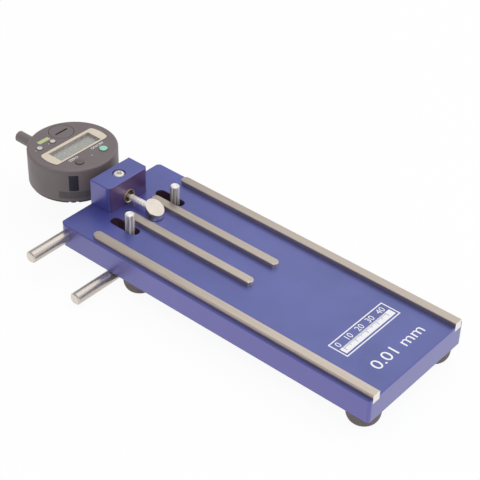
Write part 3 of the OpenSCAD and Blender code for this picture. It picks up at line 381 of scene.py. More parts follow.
class Finish(Maker):
    """One procedural material."""

    def __init__(self, name):
        self.material = bpy.data.materials.new(name)
        self.material.use_nodes = True
        super().__init__(self.material.node_tree)
        self.tree.nodes.clear()

    def place(self, size, centre=(0, 0, 0), turn=(0, 0, 0)):
        """Object coordinates measured in a pattern's own size along each axis."""
        where = self.node("ShaderNodeTexCoord", output="Object")
        sockets = {"Vector": where, "Location": centre, "Rotation": turn, "Scale": size}
        return self.node("ShaderNodeMapping", {"vector_type": "TEXTURE"}, sockets)

    def noise(self, size, detail=2.0):
        """Cloudy values around one half, with marks about as large as size."""
        sockets = {"Vector": self.place(size), "Scale": 1.0, "Detail": detail}
        return self.node("ShaderNodeTexNoise", {}, sockets)

    def spread(self, value, low, high):
        """Stretch the values between low and high to 0 and 1."""
        return ((value - low) / (high - low)).held()

    def tint(self, factor, first, second):
        sockets = {0: factor, 6: first, 7: second}
        return self.node("ShaderNodeMix", {"data_type": "RGBA"}, sockets, 2)

    def soft_edge(self, radius):
        """A normal that turns smoothly over every edge."""
        return self.node("ShaderNodeBevel", {"samples": 6}, {"Radius": radius})

    def edge(self, radius):
        """Rises from 0 on flat ground to 1 on an edge."""
        flat = self.node("ShaderNodeNewGeometry", output="Normal")
        sockets = {0: self.soft_edge(radius), 1: flat}
        level = self.node("ShaderNodeVectorMath", {"operation": "DOT_PRODUCT"}, sockets, "Value")
        return ((1 - level) * 4).held()

    def facing(self, axis):
        """Rises to 1 where the surface faces along an axis, either way."""
        flat = self.node("ShaderNodeNewGeometry", output="Normal")
        share = self.node("ShaderNodeSeparateXYZ", {}, {0: flat}, axis)
        return self.spread(self.math("ABSOLUTE", share, 0.0), 0.6, 0.95)

    def along(self, axis):
        """Place along an axis, in metres."""
        where = self.node("ShaderNodeTexCoord", output="Object")
        return self.node("ShaderNodeSeparateXYZ", {}, {0: where}, axis)

    def below(self, level, depth):
        """Rises from 0 at a level to 1 at this depth below it."""
        return ((level - self.along("Z")) / depth).held()

    def inside(self, axis, low, high, soft=MM, margin=2 * MM):
        """1 between two places along an axis, fading over a soft width to 0 at a margin inside them."""
        apart = self.math("ABSOLUTE", self.along(axis) - (low + high) / 2, 0.0)
        limit = (high - low) / 2 - margin
        return 1 - self.spread(apart, limit - soft, limit)

    def bump(self, height, depth, strength=1.0, normal=None):
        sockets = {"Height": height, "Distance": depth, "Strength": strength}
        if normal is not None:
            sockets["Normal"] = normal
        return self.node("ShaderNodeBump", {}, sockets)

    def ready(self, sockets):
        surface = self.node("ShaderNodeBsdfPrincipled", {}, sockets)
        self.node("ShaderNodeOutputMaterial", {}, {"Surface": surface})
        return self.material


def even(size):
    """The same size along each axis."""
    return (size, size, size)


def dimmed(shade, share):
    """A colour with this share of its light."""
    return [channel * share for channel in shade[:3]] + [1.0]


# Finishes

# Sizes of tool marks along X, Y and Z; along Z they are the pins' streaks of painted reflection
FINE_MARK = 0.1 * MM
LONG_MARK = 30 * MM
AROUND_X = (FINE_MARK, LONG_MARK, LONG_MARK)
AROUND_Y = (LONG_MARK, FINE_MARK, LONG_MARK)
ALONG_Z = (MM, MM, LONG_MARK)

# A pattern of this size along an axis, in metres, doesn't change along it
ENDLESS = 1000


def anodised_finish(name, colours, front, box=None):
    """Bead blasted and dyed alloy, paler towards the rear as painted light, with painted shade in
    patches along its edges, on upright faces towards the rear and on upright walls inside a box.
    Front is its colour on faces along Y, a painted shade."""
    finish = Finish(name)
    blast = finish.noise(even(0.3 * MM), 3.0)
    cloud = finish.spread(finish.noise(even(26 * MM), 3.0), 0.3, 0.7)
    # Painted light: the top's blue grows paler towards the plate's rear; the cloud is tone that differs
    # at random
    painted_rear_light = finish.spread(finish.along("Y"), PLATE_LOW.y, PLATE_HIGH.y)
    dye = finish.tint(cloud * 0.4 + painted_rear_light * 0.6, colours.blue_deep, colours.blue_pale)
    # Painted shade along the edges, in patches
    patches = finish.spread(finish.noise(even(6 * MM), 3.0), 0.3, 0.75)
    darker = finish.edge(0.5 * MM) * (0.5 + patches * 0.5)
    # Painted shade: upright faces darken towards the plate's rear
    painted_rear_shade = finish.spread(finish.along("Y"), 0.0, PLATE_HIGH.y) * 0.4
    # Painted shade: upright faces take the shaded side blue, and faces along Y take front
    sides = finish.tint(painted_rear_shade, colours.blue_side, colours.blue_edge)
    sides = finish.tint(finish.facing("Y"), sides, front)
    if box:
        # Painted shade on upright walls in the plate's slots and grooves
        inside = finish.inside("X", box[0].x, box[1].x) * finish.inside("Y", box[0].y, box[1].y)
        sides = finish.tint(inside, sides, colours.blue_inside)
    skin = finish.tint(finish.facing("Z"), sides, dye)
    return finish.ready({
        "Base Color": finish.tint(darker * 0.7, skin, colours.blue_edge),
        "Metallic": 0.7,
        "Roughness": 0.36 + blast * 0.12 + cloud * 0.05,
        "Coat Weight": 1.0,
        "Coat Roughness": 0.3,
        "Coat IOR": 1.65,
        "Normal": finish.bump(blast, 0.01 * MM, 0.5, finish.soft_edge(0.4 * MM)),
    })


def ground_finish(colours):
    """Steel ground along the rail, with painted shade towards the plate's right side and front, a
    painted highlight on its ends along Y and painted shade on its long sides.
    """
    finish = Finish("ground_steel")
    lines = finish.noise((0.16 * MM, 14 * MM, 0.16 * MM), 3.0)
    bands = finish.noise((1.4 * MM, 60 * MM, 1.4 * MM), 2.0)
    mark = finish.spread(lines * 0.7 + bands * 0.3, 0.3, 0.7)
    bright = finish.tint(mark, colours.rail_line, colours.rail)
    # Painted shade: the rails darken towards the plate's right side and front
    right = finish.spread(finish.along("X"), PLATE_X - 12 * MM, PLATE_HIGH.x)
    front = finish.spread(finish.along("Y"), PLATE_HIGH.y, PLATE_LOW.y)
    rail_painted_shade = dimmed(colours.rail, 0.7)
    bright = finish.tint(right * 0.5 + front * 0.25, bright, rail_painted_shade)
    # Painted highlight: the rails' ends along Y take the light screw colour
    painted_bright_ends = finish.tint(finish.facing("Y"), bright, colours.screw)
    return finish.ready({
        # Painted shade on the rails' long sides along X
        "Base Color": finish.tint(finish.facing("X"), painted_bright_ends, colours.rail_side),
        "Metallic": 1.0,
        "Roughness": 0.26 + lines * 0.16,
        "Normal": finish.bump(lines, 0.01 * MM, 0.6, finish.soft_edge(0.25 * MM)),
    })


def turned_finish(name, shade, line, size, rough, depth=0.004 * MM, stretch=0.0, metal=0.85, end=None):
    """Metal with turning marks across the axis along which size is small. Stretch draws its gloss out
    along Z, and end is an axis and a lighter colour painted on the faces along it as a painted
    highlight."""
    finish = Finish(name)
    marks = finish.noise(size, 3.0)
    smear = finish.noise(even(5 * MM), 2.0)
    skin = finish.tint(finish.spread(marks, 0.35, 0.65), line, shade)
    # Painted highlight on the end faces
    if end:
        skin = finish.tint(finish.facing(end[0]), skin, end[1])
    return finish.ready({
        "Base Color": skin,
        "Metallic": metal,
        "Roughness": rough + marks * 0.08 + smear * 0.06,
        "Anisotropic": stretch,
        "Anisotropic Rotation": 0.25,
        "Normal": finish.bump(marks, depth, 0.5, finish.soft_edge(0.2 * MM)),
    })


def faced_finish(colours, centre, slant):
    """Bright steel whose slanted top is turned in fine rings around its middle."""
    finish = Finish("faced_steel")
    where = finish.place(even(MM), centre, (slant, 0, 0))
    across = finish.node("ShaderNodeVectorMath", {"operation": "MULTIPLY"}, {0: where, 1: (1, 1, 0)})
    radius = finish.node("ShaderNodeVectorMath", {"operation": "LENGTH"}, {0: across}, "Value")
    rings = finish.node("ShaderNodeTexNoise", {"noise_dimensions": "1D"}, {"W": radius, "Scale": 9.0})
    smear = finish.noise(even(4 * MM), 2.0)
    top = finish.facing("Z")
    face = finish.tint(finish.spread(rings, 0.3, 0.7), colours.rail_line, colours.bright_line)
    return finish.ready({
        "Base Color": finish.tint(top, colours.bright, face),
        "Metallic": 1.0,
        "Roughness": 0.12 + top * (0.12 + rings * 0.1 + smear * 0.08),
        "Anisotropic": 0.8,
        "Anisotropic Rotation": 0.25,
        "Normal": finish.bump(rings, 0.012 * MM, 1.0, finish.soft_edge(0.25 * MM)),
    })


def milled_finish(name, shade, line):
    """Milled alloy with the overlapping arcs of a cutter."""
    finish = Finish(name)
    wave = finish.node(
        "ShaderNodeTexWave",
        {"wave_type": "RINGS", "rings_direction": "Z"},
        {"Vector": finish.place(even(9 * MM)), "Scale": 6.0, "Distortion": 1.5, "Detail": 2.0},
    )
    arcs = finish.node("ShaderNodeRGBToBW", {}, {0: wave})
    return finish.ready({
        "Base Color": finish.tint(arcs, line, shade),
        "Metallic": 0.9,
        "Roughness": 0.3 + arcs * 0.12,
        "Normal": finish.bump(arcs, 0.01 * MM, 0.5, finish.soft_edge(0.3 * MM)),
    })


def moulded_finish(name, shade, rough, grain=0.35 * MM, depth=0.02 * MM, low=None):
    """Moulded plastic with a fine spark texture, a little shinier where hands rub it. Low is a level,
    the depth over which the plastic changes below it, and the colour that it has there, as painted
    shade."""
    finish = Finish(name)
    texture = finish.noise(even(grain), 3.0)
    handled = finish.spread(finish.noise(even(14 * MM), 3.0), 0.3, 0.7)
    darker = dimmed(shade, 0.86)
    skin = finish.tint(handled * 0.5 + texture * 0.5, darker, shade)
    # Painted shade below the level
    if low:
        skin = finish.tint(finish.below(*low[:2]), skin, low[2])
    return finish.ready({
        "Base Color": skin,
        "Metallic": 0.0,
        "Roughness": rough + texture * 0.14 - handled * 0.06,
        "Normal": finish.bump(texture, depth, 0.6, finish.soft_edge(0.3 * MM)),
    })


def key_finish(name, shade, rough):
    """Moulded plastic with painted shade down the side of a key."""
    # Painted shade down the side of the key
    side = dimmed(shade, 0.3)
    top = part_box(KEY_NODES[0])[1].z
    return moulded_finish(name, shade, rough, low=(top - 0.25 * MM, 0.35 * MM, side))


def rubber_finish(name, shade):
    """Dull rubber with dust in its grain."""
    finish = Finish(name)
    grain = finish.noise(even(0.5 * MM), 4.0)
    dust = finish.spread(finish.noise(even(5 * MM), 4.0), 0.5, 0.8)
    dusty = [channel * 1.7 + 0.01 for channel in shade[:3]] + [1.0]
    return finish.ready({
        "Base Color": finish.tint(dust * 0.6, shade, dusty),
        "Roughness": 0.62 + grain * 0.2,
        "Normal": finish.bump(grain, 0.04 * MM, 0.7, finish.soft_edge(0.4 * MM)),
    })


def print_finish(name, shade, rough=0.5):
    """Screen print with the faint mesh of its screen."""
    finish = Finish(name)
    mesh = finish.noise(even(0.22 * MM), 2.0)
    patches = finish.spread(finish.noise(even(3 * MM), 4.0), 0.62, 0.85)
    faded = dimmed(shade, 0.82)
    return finish.ready({
        "Base Color": finish.tint(patches, shade, faded),
        "Roughness": rough + mesh * 0.15,
        "Normal": finish.bump(mesh, 0.006 * MM, 0.4),
    })


def display_finish(colours, border):
    """Reflective liquid crystal ground, with a painted shadow at its far and right sides."""
    finish = Finish("display_ground")
    grain = finish.noise(even(0.18 * MM), 2.0)
    cloud = finish.spread(finish.noise(even(9 * MM), 2.0), 0.3, 0.7)
    shade = dimmed(colours.display, 0.9)
    ground = finish.tint(cloud * 0.6 + grain * 0.4, shade, colours.display)
    # Painted shadow along the far and right sides
    fade = 0.6 * MM
    far = finish.spread(finish.along("Y"), WINDOW_HIGH.y - border - fade, WINDOW_HIGH.y - border)
    right = finish.spread(finish.along("X"), WINDOW_HIGH.x - border - fade, WINDOW_HIGH.x - border)
    return finish.ready({
        "Base Color": finish.tint(finish.math("MAXIMUM", far, right), ground, colours.border),
        "Roughness": 0.36 + grain * 0.16,
        "Normal": finish.bump(grain, 0.004 * MM, 0.3),
    })


def window_finish(colours):
    """Thin clear window with faint wiping marks."""
    finish = Finish("clear_window")
    wipe = finish.noise((12 * MM, 2 * MM, 2 * MM), 3.0)
    return finish.ready({
        "Base Color": finish.tint(wipe, colours.glass, WHITE),
        "Roughness": 0.05 + wipe * 0.06,
        "Alpha": 0.08 + finish.spread(wipe, 0.55, 0.8) * 0.05,
    })


def striped_finish(name, shade, line, size, rough, metal):
    """Even stripes across one axis, such as a scale's lines or a board's tracks."""
    finish = Finish(name)
    wave = finish.node(
        "ShaderNodeTexWave",
        {"wave_type": "BANDS", "bands_direction": "DIAGONAL"},
        {"Vector": finish.place(size), "Scale": 1.0, "Distortion": 0.0},
    )
    stripe = finish.spread(finish.node("ShaderNodeRGBToBW", {}, {0: wave}), 0.4, 0.6)
    grain = finish.noise(even(0.4 * MM), 2.0)
    return finish.ready({
        "Base Color": finish.tint(stripe, shade, line),
        "Metallic": metal,
        "Roughness": rough + grain * 0.12,
        "Normal": finish.bump(stripe + grain * 0.2, 0.02 * MM, 0.3),
    })


def dress(nodes, finish):
    """Give CAD nodes one finish."""
    for name in nodes:
        slots = frame["nodes"][name].material_slots
        for slot in slots:
            slot.material = finish
        if not slots:
            raise RuntimeError(f"node {name} has no material slot")


# Shapes

def placed(name, data):
    """A new object in the scene that shows this data."""
    thing = bpy.data.objects.new(name, data)
    bpy.context.scene.collection.objects.link(thing)
    return thing


def add_piece(name, mesh, body, finish):
    """Put a finished mesh in the scene as a piece that moves with a body."""
    mesh.name = name
    mesh.materials.clear()
    mesh.materials.append(finish)
    piece = placed(name, mesh)
    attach(piece, body)
    return piece


def mesh_from(builder, smooth=False):
    """Turn a bmesh into a mesh whose faces point outwards."""
    bmesh.ops.recalc_face_normals(builder, faces=builder.faces)
    mesh = bpy.data.meshes.new("mesh")
    builder.to_mesh(mesh)
    builder.free()
    if smooth:
        mesh.shade_smooth()
    return mesh


def joined(meshes):
    """One mesh that holds them all."""
    builder = bmesh.new()
    for mesh in meshes:
        builder.from_mesh(mesh)
        bpy.data.meshes.remove(mesh)
    return mesh_from(builder)


def settled(holder):
    """The plain mesh that an object comes to with its modifiers. The object itself goes."""
    graph = bpy.context.evaluated_depsgraph_get()
    mesh = bpy.data.meshes.new_from_object(holder.evaluated_get(graph))
    bpy.data.objects.remove(holder)
    return mesh


def bridge(builder, first, second):
    """Faces from one closed loop of vertices to another."""
    for index in range(len(first)):
        after = (index + 1) % len(first)
        builder.faces.new((first[index], first[after], second[after], second[index]))


def sheet_mesh(outline, base, depth):
    """A flat sheet of this outline, from base up to base plus depth."""
    builder = bmesh.new()
    low = [builder.verts.new((x, y, base)) for x, y in outline]
    high = [builder.verts.new((x, y, base + depth)) for x, y in outline]
    builder.faces.new(low)
    builder.faces.new(high)
    bridge(builder, low, high)
    return mesh_from(builder)


def bar_outline(x0, y0, x1, y1):
    """Corners of a rectangle."""
    return [(x0, y0), (x1, y0), (x1, y1), (x0, y1)]


def on_circle(x, y, radius, turn):
    """The point at a turn on a circle about x, y."""
    return (x + radius * math.cos(turn), y + radius * math.sin(turn))


def round_outline(x, y, width, height, radius, steps=6):
    """A rectangle about x, y with round corners."""
    corners = []
    for quarter, (side, end) in enumerate([(1, 1), (-1, 1), (-1, -1), (1, -1)]):
        middle_x = x + side * (width / 2 - radius)
        middle_y = y + end * (height / 2 - radius)
        for step in range(steps + 1):
            turn = (quarter + step / steps) * FULL_TURN / 4
            corners.append(on_circle(middle_x, middle_y, radius, turn))
    return corners


def disc_outline(node, radius):
    """A circle about the middle of a CAD node, seen from above."""
    return round_outline(*middle_of(node).xy, 2 * radius, 2 * radius, radius)


def word_mesh(words, x, y, base, height, width=None):
    """Raised words whose box is centred on x, y, with this height and, if given, this width."""
    text = bpy.data.curves.new("words", "FONT")
    text.body = words
    text.resolution_u = 4
    text.extrude = 0.5
    mesh = settled(placed("words", text))
    bpy.data.curves.remove(text)
    xs = [vertex.co.x for vertex in mesh.vertices]
    ys = [vertex.co.y for vertex in mesh.vertices]
    tall = height / (max(ys) - min(ys))
    wide = width / (max(xs) - min(xs)) if width else tall
    mesh.transform(Matrix.Translation((-(max(xs) + min(xs)) / 2, -(max(ys) + min(ys)) / 2, 0.5)))
    mesh.transform(Matrix.Diagonal((wide, tall, PRINT_DEPTH, 1.0)))
    mesh.transform(Matrix.Translation((x, y, base)))
    return mesh


def lathe_mesh(profile, x, y, around=40):
    """A solid of revolution about the upright line through x, y. The profile runs from axis to axis."""
    builder = bmesh.new()
    turns = [FULL_TURN * step / around for step in range(around)]
    rings = []
    for radius, height in profile:
        spots = [on_circle(x, y, radius, turn) for turn in turns] if radius else [(x, y)]
        rings.append([builder.verts.new((*spot, height)) for spot in spots])
    for inner, outer in zip(rings, rings[1:]):
        for step in range(around):
            after = (step + 1) % around
            corners = [inner[step % len(inner)], inner[after % len(inner)]]
            corners += [outer[after % len(outer)], outer[step % len(outer)]]
            builder.faces.new(list(dict.fromkeys(corners)))
    return mesh_from(builder, True)


def ring_mesh(inner, outer, low=FACE_Z - PRINT_DEPTH, high=FACE_Z + PRINT_DEPTH):
    """A ring between two outlines with as many points and two levels, by default thin on the face."""
    builder = bmesh.new()
    loops = []
    for outline in (inner, outer):
        for level in (low, high):
            loops.append([builder.verts.new((x, y, level)) for x, y in outline])
    inner_low, inner_high, outer_low, outer_high = loops
    way_round = (inner_low, outer_low, outer_high, inner_high, inner_low)
    for first, second in zip(way_round, way_round[1:]):
        bridge(builder, first, second)
    return mesh_from(builder)


def bezel_outline(fittings, grow):
    """The display frame's outline with its round ends and corners, grown by a little."""
    middle_x, middle_y = middle_of("display_bezel").xy
    end = (BEZEL_HIGH.x - BEZEL_LOW.x) / 2 + grow
    corner = fittings.bezel_corner + grow
    corner_y = (BEZEL_HIGH.y - BEZEL_LOW.y) / 2 - fittings.bezel_corner
    corner_x = math.sqrt((end - corner) ** 2 - corner_y ** 2)
    lean = math.atan2(corner_y, corner_x)
    arcs = []
    for side in (0, 1):
        turn = side * FULL_TURN / 2
        flip = 1 - 2 * side
        low_spot = (flip * corner_x, -flip * corner_y)
        high_spot = (flip * corner_x, flip * corner_y)
        arcs.append((low_spot, corner, turn - FULL_TURN / 4, turn - lean))
        arcs.append(((0.0, 0.0), end, turn - lean, turn + lean))
        arcs.append((high_spot, corner, turn + lean, turn + FULL_TURN / 4))
    outline = []
    steps = 12
    for (x, y), radius, first, last in arcs:
        for step in range(steps):
            turn = first + (last - first) * step / steps
            outline.append(on_circle(middle_x + x, middle_y + y, radius, turn))
    return outline


def digit_mesh(width, height, stroke):
    """The seven bars of one digit, about the origin."""
    half = height / 2
    wide = width / 2
    thin = stroke / 2
    gap = 0.12 * MM
    room = thin + gap
    bars = []
    for level in (-half, 0.0, half):
        bars.append(bar_outline(room - wide, level - thin, wide - room, level + thin))
    for edge in (-wide, wide):
        for low, high in ((-half, 0.0), (0.0, half)):
            bars.append(bar_outline(edge - thin, low + room, edge + thin, high - room))
    return joined([sheet_mesh(outline, 0.0, PRINT_DEPTH) for outline in bars])


def band_mesh(middle, width, start, height, rise):
    """A thin band bent around the case, from a turn about the stem, a start above the case's bottom
    and a rise above its side."""
    steps = 60
    builder = bmesh.new()
    columns = []
    low = CASE_LOW.z + start
    high = low + height
    inner = CASE_RADIUS - 0.05 * MM
    outer = CASE_RADIUS + rise
    for step in range(steps + 1):
        turn = -FULL_TURN / 4 + middle + width * (step / steps - 0.5)
        corners = []
        for radius, level in ((inner, low), (outer, low), (outer, high), (inner, high)):
            corners.append(builder.verts.new((*on_circle(FACE_X, FACE_Y, radius, turn), level)))
        columns.append(corners)
    for before, after in zip(columns, columns[1:]):
        bridge(builder, before, after)
    builder.faces.new(columns[0])
    builder.faces.new(columns[-1])
    return mesh_from(builder)


# Repeated shapes

def new_tree(name, sizes):
    """An empty geometry tree with its named inputs, and the maker that fills it."""
    tree = bpy.data.node_groups.new(name, "GeometryNodeTree")
    tree.interface.new_socket("Geometry", in_out="OUTPUT", socket_type="NodeSocketGeometry")
    for label, kind in sizes:
        tree.interface.new_socket(label, in_out="INPUT", socket_type=kind)
    return tree, Maker(tree)


def named(maker, label):
    """One of the tree's named inputs, as a value."""
    return maker.node("NodeGroupInput", output=label)


def close_tree(maker, shape):
    """End a tree with plain geometry in its finish."""
    real = maker.node("GeometryNodeRealizeInstances", {}, {"Geometry": shape})
    sockets = {"Geometry": real, "Material": named(maker, "Finish")}
    dressed = maker.node("GeometryNodeSetMaterial", {}, sockets)
    maker.node("NodeGroupOutput", {}, {0: dressed})


def spring_tree():
    """A coil along Y with a closed turn at each end."""
    tree, maker = new_tree("closed_end_spring", [
        ("Turns", "NodeSocketFloat"),
        ("Coil radius", "NodeSocketFloat"),
        ("Wire radius", "NodeSocketFloat"),
        ("Length", "NodeSocketFloat"),
        ("Points per turn", "NodeSocketInt"),
        ("Finish", "NodeSocketMaterial"),
    ])
    turns = named(maker, "Turns")
    coil = named(maker, "Coil radius")
    wire = named(maker, "Wire radius")
    points = turns * named(maker, "Points per turn") + 1
    line = maker.node("GeometryNodeCurvePrimitiveLine")
    path = maker.node("GeometryNodeResampleCurve", {}, {"Curve": line, "Count": points})
    share = maker.node("GeometryNodeSplineParameter", output="Factor")
    turn = share * turns * FULL_TURN
    dead = 1 / turns
    rise = named(maker, "Length") - 6 * wire
    first = (share / dead).held() * wire * 2
    middle = ((share - dead) / (1 - 2 * dead)).held() * rise
    last = ((share - 1 + dead) / dead).held() * wire * 2
    sockets = {
        "X": maker.math("COSINE", turn, 0.0) * coil,
        "Y": wire + first + middle + last,
        "Z": maker.math("SINE", turn, 0.0) * coil,
    }
    spot = maker.node("ShaderNodeCombineXYZ", {}, sockets)
    bent = maker.node("GeometryNodeSetPosition", {}, {"Geometry": path, "Position": spot})
    ring = maker.node("GeometryNodeCurvePrimitiveCircle", {}, {"Resolution": 10, "Radius": wire})
    sockets = {"Curve": bent, "Profile Curve": ring, "Fill Caps": True}
    close_tree(maker, maker.node("GeometryNodeCurveToMesh", {}, sockets))
    return tree


def rib_tree():
    """Upright half round ribs along an arc about the origin, on both sides of a gap towards -Y."""
    tree, maker = new_tree("ribs_on_an_arc", [
        ("Ribs", "NodeSocketInt"),
        ("Arc radius", "NodeSocketFloat"),
        ("Span", "NodeSocketFloat"),
        ("Gap", "NodeSocketFloat"),
        ("Rib width", "NodeSocketFloat"),
        ("Rib height", "NodeSocketFloat"),
        ("Finish", "NodeSocketMaterial"),
    ])
    ribs = named(maker, "Ribs")
    span = named(maker, "Span")
    arc = named(maker, "Arc radius")
    place = maker.node("GeometryNodeInputIndex")
    aside = span * (place / (ribs - 1) - 0.5)
    turn = aside - FULL_TURN / 4
    across = {"X": maker.math("COSINE", turn, 0.0) * arc, "Y": maker.math("SINE", turn, 0.0) * arc}
    spot = maker.node("ShaderNodeCombineXYZ", {}, across)
    points = maker.node("GeometryNodePoints", {}, {"Count": ribs, "Position": spot})
    rod = {"Vertices": 10, "Radius": named(maker, "Rib width") / 2, "Depth": named(maker, "Rib height")}
    rib = maker.node("GeometryNodeMeshCylinder", {}, rod)
    clear = maker.math("GREATER_THAN", maker.math("ABSOLUTE", aside, 0.0), named(maker, "Gap") / 2)
    sockets = {"Points": points, "Selection": clear, "Instance": rib}
    close_tree(maker, maker.node("GeometryNodeInstanceOnPoints", {}, sockets))
    return tree


def row_tree():
    """A row of copies of the shape that comes in, one step apart."""
    tree, maker = new_tree("row_of_copies", [
        ("Geometry", "NodeSocketGeometry"),
        ("Copies", "NodeSocketInt"),
        ("Step", "NodeSocketVector"),
        ("Finish", "NodeSocketMaterial"),
    ])
    place = maker.node("GeometryNodeInputIndex")
    sockets = {"Vector": named(maker, "Step"), "Scale": place}
    spot = maker.node("ShaderNodeVectorMath", {"operation": "SCALE"}, sockets)
    points = maker.node("GeometryNodePoints", {}, {"Count": named(maker, "Copies"), "Position": spot})
    sockets = {"Points": points, "Instance": named(maker, "Geometry")}
    close_tree(maker, maker.node("GeometryNodeInstanceOnPoints", {}, sockets))
    return tree


def grown(tree, sizes, start=None):
    """The plain mesh that a geometry tree makes with these sizes."""
    seed = start or bpy.data.meshes.new("seed")
    holder = placed("holder", seed)
    modifier = holder.modifiers.new("tree", "NODES")
    modifier.node_group = tree
    for item in tree.interface.items_tree:
        if item.in_out == "INPUT" and item.name in sizes:
            modifier[item.identifier] = sizes[item.name]
    mesh = settled(holder)
    bpy.data.meshes.remove(seed)
    if not mesh.polygons:
        raise RuntimeError(f"the tree {tree.name} made no faces")
    return mesh


# Stage

def seen_rays(maker):
    """1 for the rays that show the background, straight or in metal or glass."""
    rays = [maker.node("ShaderNodeLightPath", output=ray) for ray in (
        "Is Camera Ray", "Is Glossy Ray", "Is Transmission Ray"
    )]
    return (rays[0] + rays[1] + rays[2]).held()


def add_floor(stage):
    """A white floor that keeps the part's shadow, most of it under the plate."""
    half = stage.floor_size / 2
    builder = bmesh.new()
    builder.faces.new([builder.verts.new((x, y, 0.0)) for x, y in bar_outline(-half, -half, half, half)])
    finish = Finish("studio_floor")
    deep = 10 * MM
    under = finish.inside("X", PLATE_LOW.x + deep, PLATE_HIGH.x, deep)
    under = under * finish.inside("Y", PLATE_LOW.y + deep, PLATE_HIGH.y, deep)
    seen = seen_rays(finish) * stage.floor_glow * (1 - under)
    paper = finish.node("ShaderNodeBsdfDiffuse", {}, {"Color": (0.9, 0.9, 0.9, 1.0)})
    glow = finish.node("ShaderNodeEmission", {}, {"Color": WHITE, "Strength": 1.0})
    surface = finish.node("ShaderNodeMixShader", {}, {0: seen, 1: paper, 2: glow})
    finish.node("ShaderNodeOutputMaterial", {}, {"Surface": surface})
    mesh = mesh_from(builder)
    mesh.materials.append(finish.material)
    placed("studio_floor", mesh)


def add_sky(scene, stage):
    """Soft light from all around, brighter overhead and from one side, and a white backdrop low down."""
    scene.world = bpy.data.worlds.new("studio_sky")
    scene.world.use_nodes = True
    maker = Maker(scene.world.node_tree)
    maker.tree.nodes.clear()
    way = maker.node("ShaderNodeTexCoord", output="Generated")
    height = maker.node("ShaderNodeSeparateXYZ", {}, {0: way}, "Z")
    stops = [(level, (shade, shade, shade, 1.0)) for level, shade in (
        (0.0, 0.55), (0.12, 0.5), (0.3, 0.55), (0.6, 0.65), (0.85, 0.95), (1.0, 1.0)
    )]
    shade = maker.node("ShaderNodeValToRGB", {"stops": stops}, {0: height})
    sockets = {0: way, 1: stage.bright_side}
    side = maker.node("ShaderNodeVectorMath", {"operation": "DOT_PRODUCT"}, sockets, "Value")
    strength = stage.sky * (1 + side * stage.sky_slope)
    light = maker.node("ShaderNodeBackground", {}, {"Color": shade, "Strength": strength})
    white = maker.node("ShaderNodeBackground", {}, {"Color": WHITE, "Strength": 1.0})
    backdrop = ((0.3 - height) / 0.2).held() * seen_rays(maker)
    mixed = maker.node("ShaderNodeMixShader", {}, {0: backdrop, 1: light, 2: white})
    maker.node("ShaderNodeOutputWorld", {}, {"Surface": mixed})


def add_lamp(name, power, size, place, aim=(0.0, -0.05, 0.0)):
    """A square soft lamp of a power in watts that points at its aim."""
    lamp = bpy.data.lights.new(name, "AREA")
    lamp.shape = "SQUARE"
    lamp.size = size
    lamp.energy = power
    holder = placed(name, lamp)
    holder.location = place
    holder.rotation_euler = (Vector(aim) - Vector(place)).to_track_quat("-Z", "Y").to_euler()


def add_camera(scene, stage):
    """The camera at the photograph's viewing angle."""
    flat = math.cos(stage.elevation)
    away = Vector((
        math.sin(stage.azimuth) * flat,
        -math.cos(stage.azimuth) * flat,
        math.sin(stage.elevation),
    ))
    camera = bpy.data.cameras.new("camera")
    camera.lens = stage.lens
    camera.sensor_width = 36.0
    camera.clip_start = 0.01
    camera.clip_end = 100.0
    holder = placed("camera", camera)
    look = (-away).to_track_quat("-Z", "Y").to_matrix().to_4x4()
    place = Matrix.Translation(Vector(stage.aim) + away * stage.distance)
    holder.matrix_world = place @ look @ Matrix.Rotation(stage.roll, 4, "Z")
    scene.camera = holder


# Operators

class GAUGE_OT_anodised_parts(bpy.types.Operator):
    """Dress the plate, the block and the two guide brackets in blue anodising"""

    bl_idname = "gauge.anodised_parts"
    bl_label = "Anodised parts"

    def execute(self, context):
        colours = context.scene.gauge_colours
        # Painted shade on the upright faces of the plate and brackets
        side = colours.blue_side
        dress(("base_plate",), anodised_finish("anodised_plate", colours, side, (PLATE_LOW, PLATE_HIGH)))
        brackets = ("front_guide_bracket", "rear_guide_bracket")
        dress(brackets, anodised_finish("anodised_bracket", colours, side))
        dress(("indicator_block",), anodised_finish("anodised_block", colours, colours.blue_front))
        return {"FINISHED"}


class GAUGE_OT_rails(bpy.types.Operator):
    """Dress the four rails in ground steel"""

    bl_idname = "gauge.rails"
    bl_label = "Rails"

    def execute(self, context):
        rails = ("outer_rail_left", "outer_rail_right", "inner_rail_left", "inner_rail_right")
        dress(rails, ground_finish(context.scene.gauge_colours))
        return {"FINISHED"}


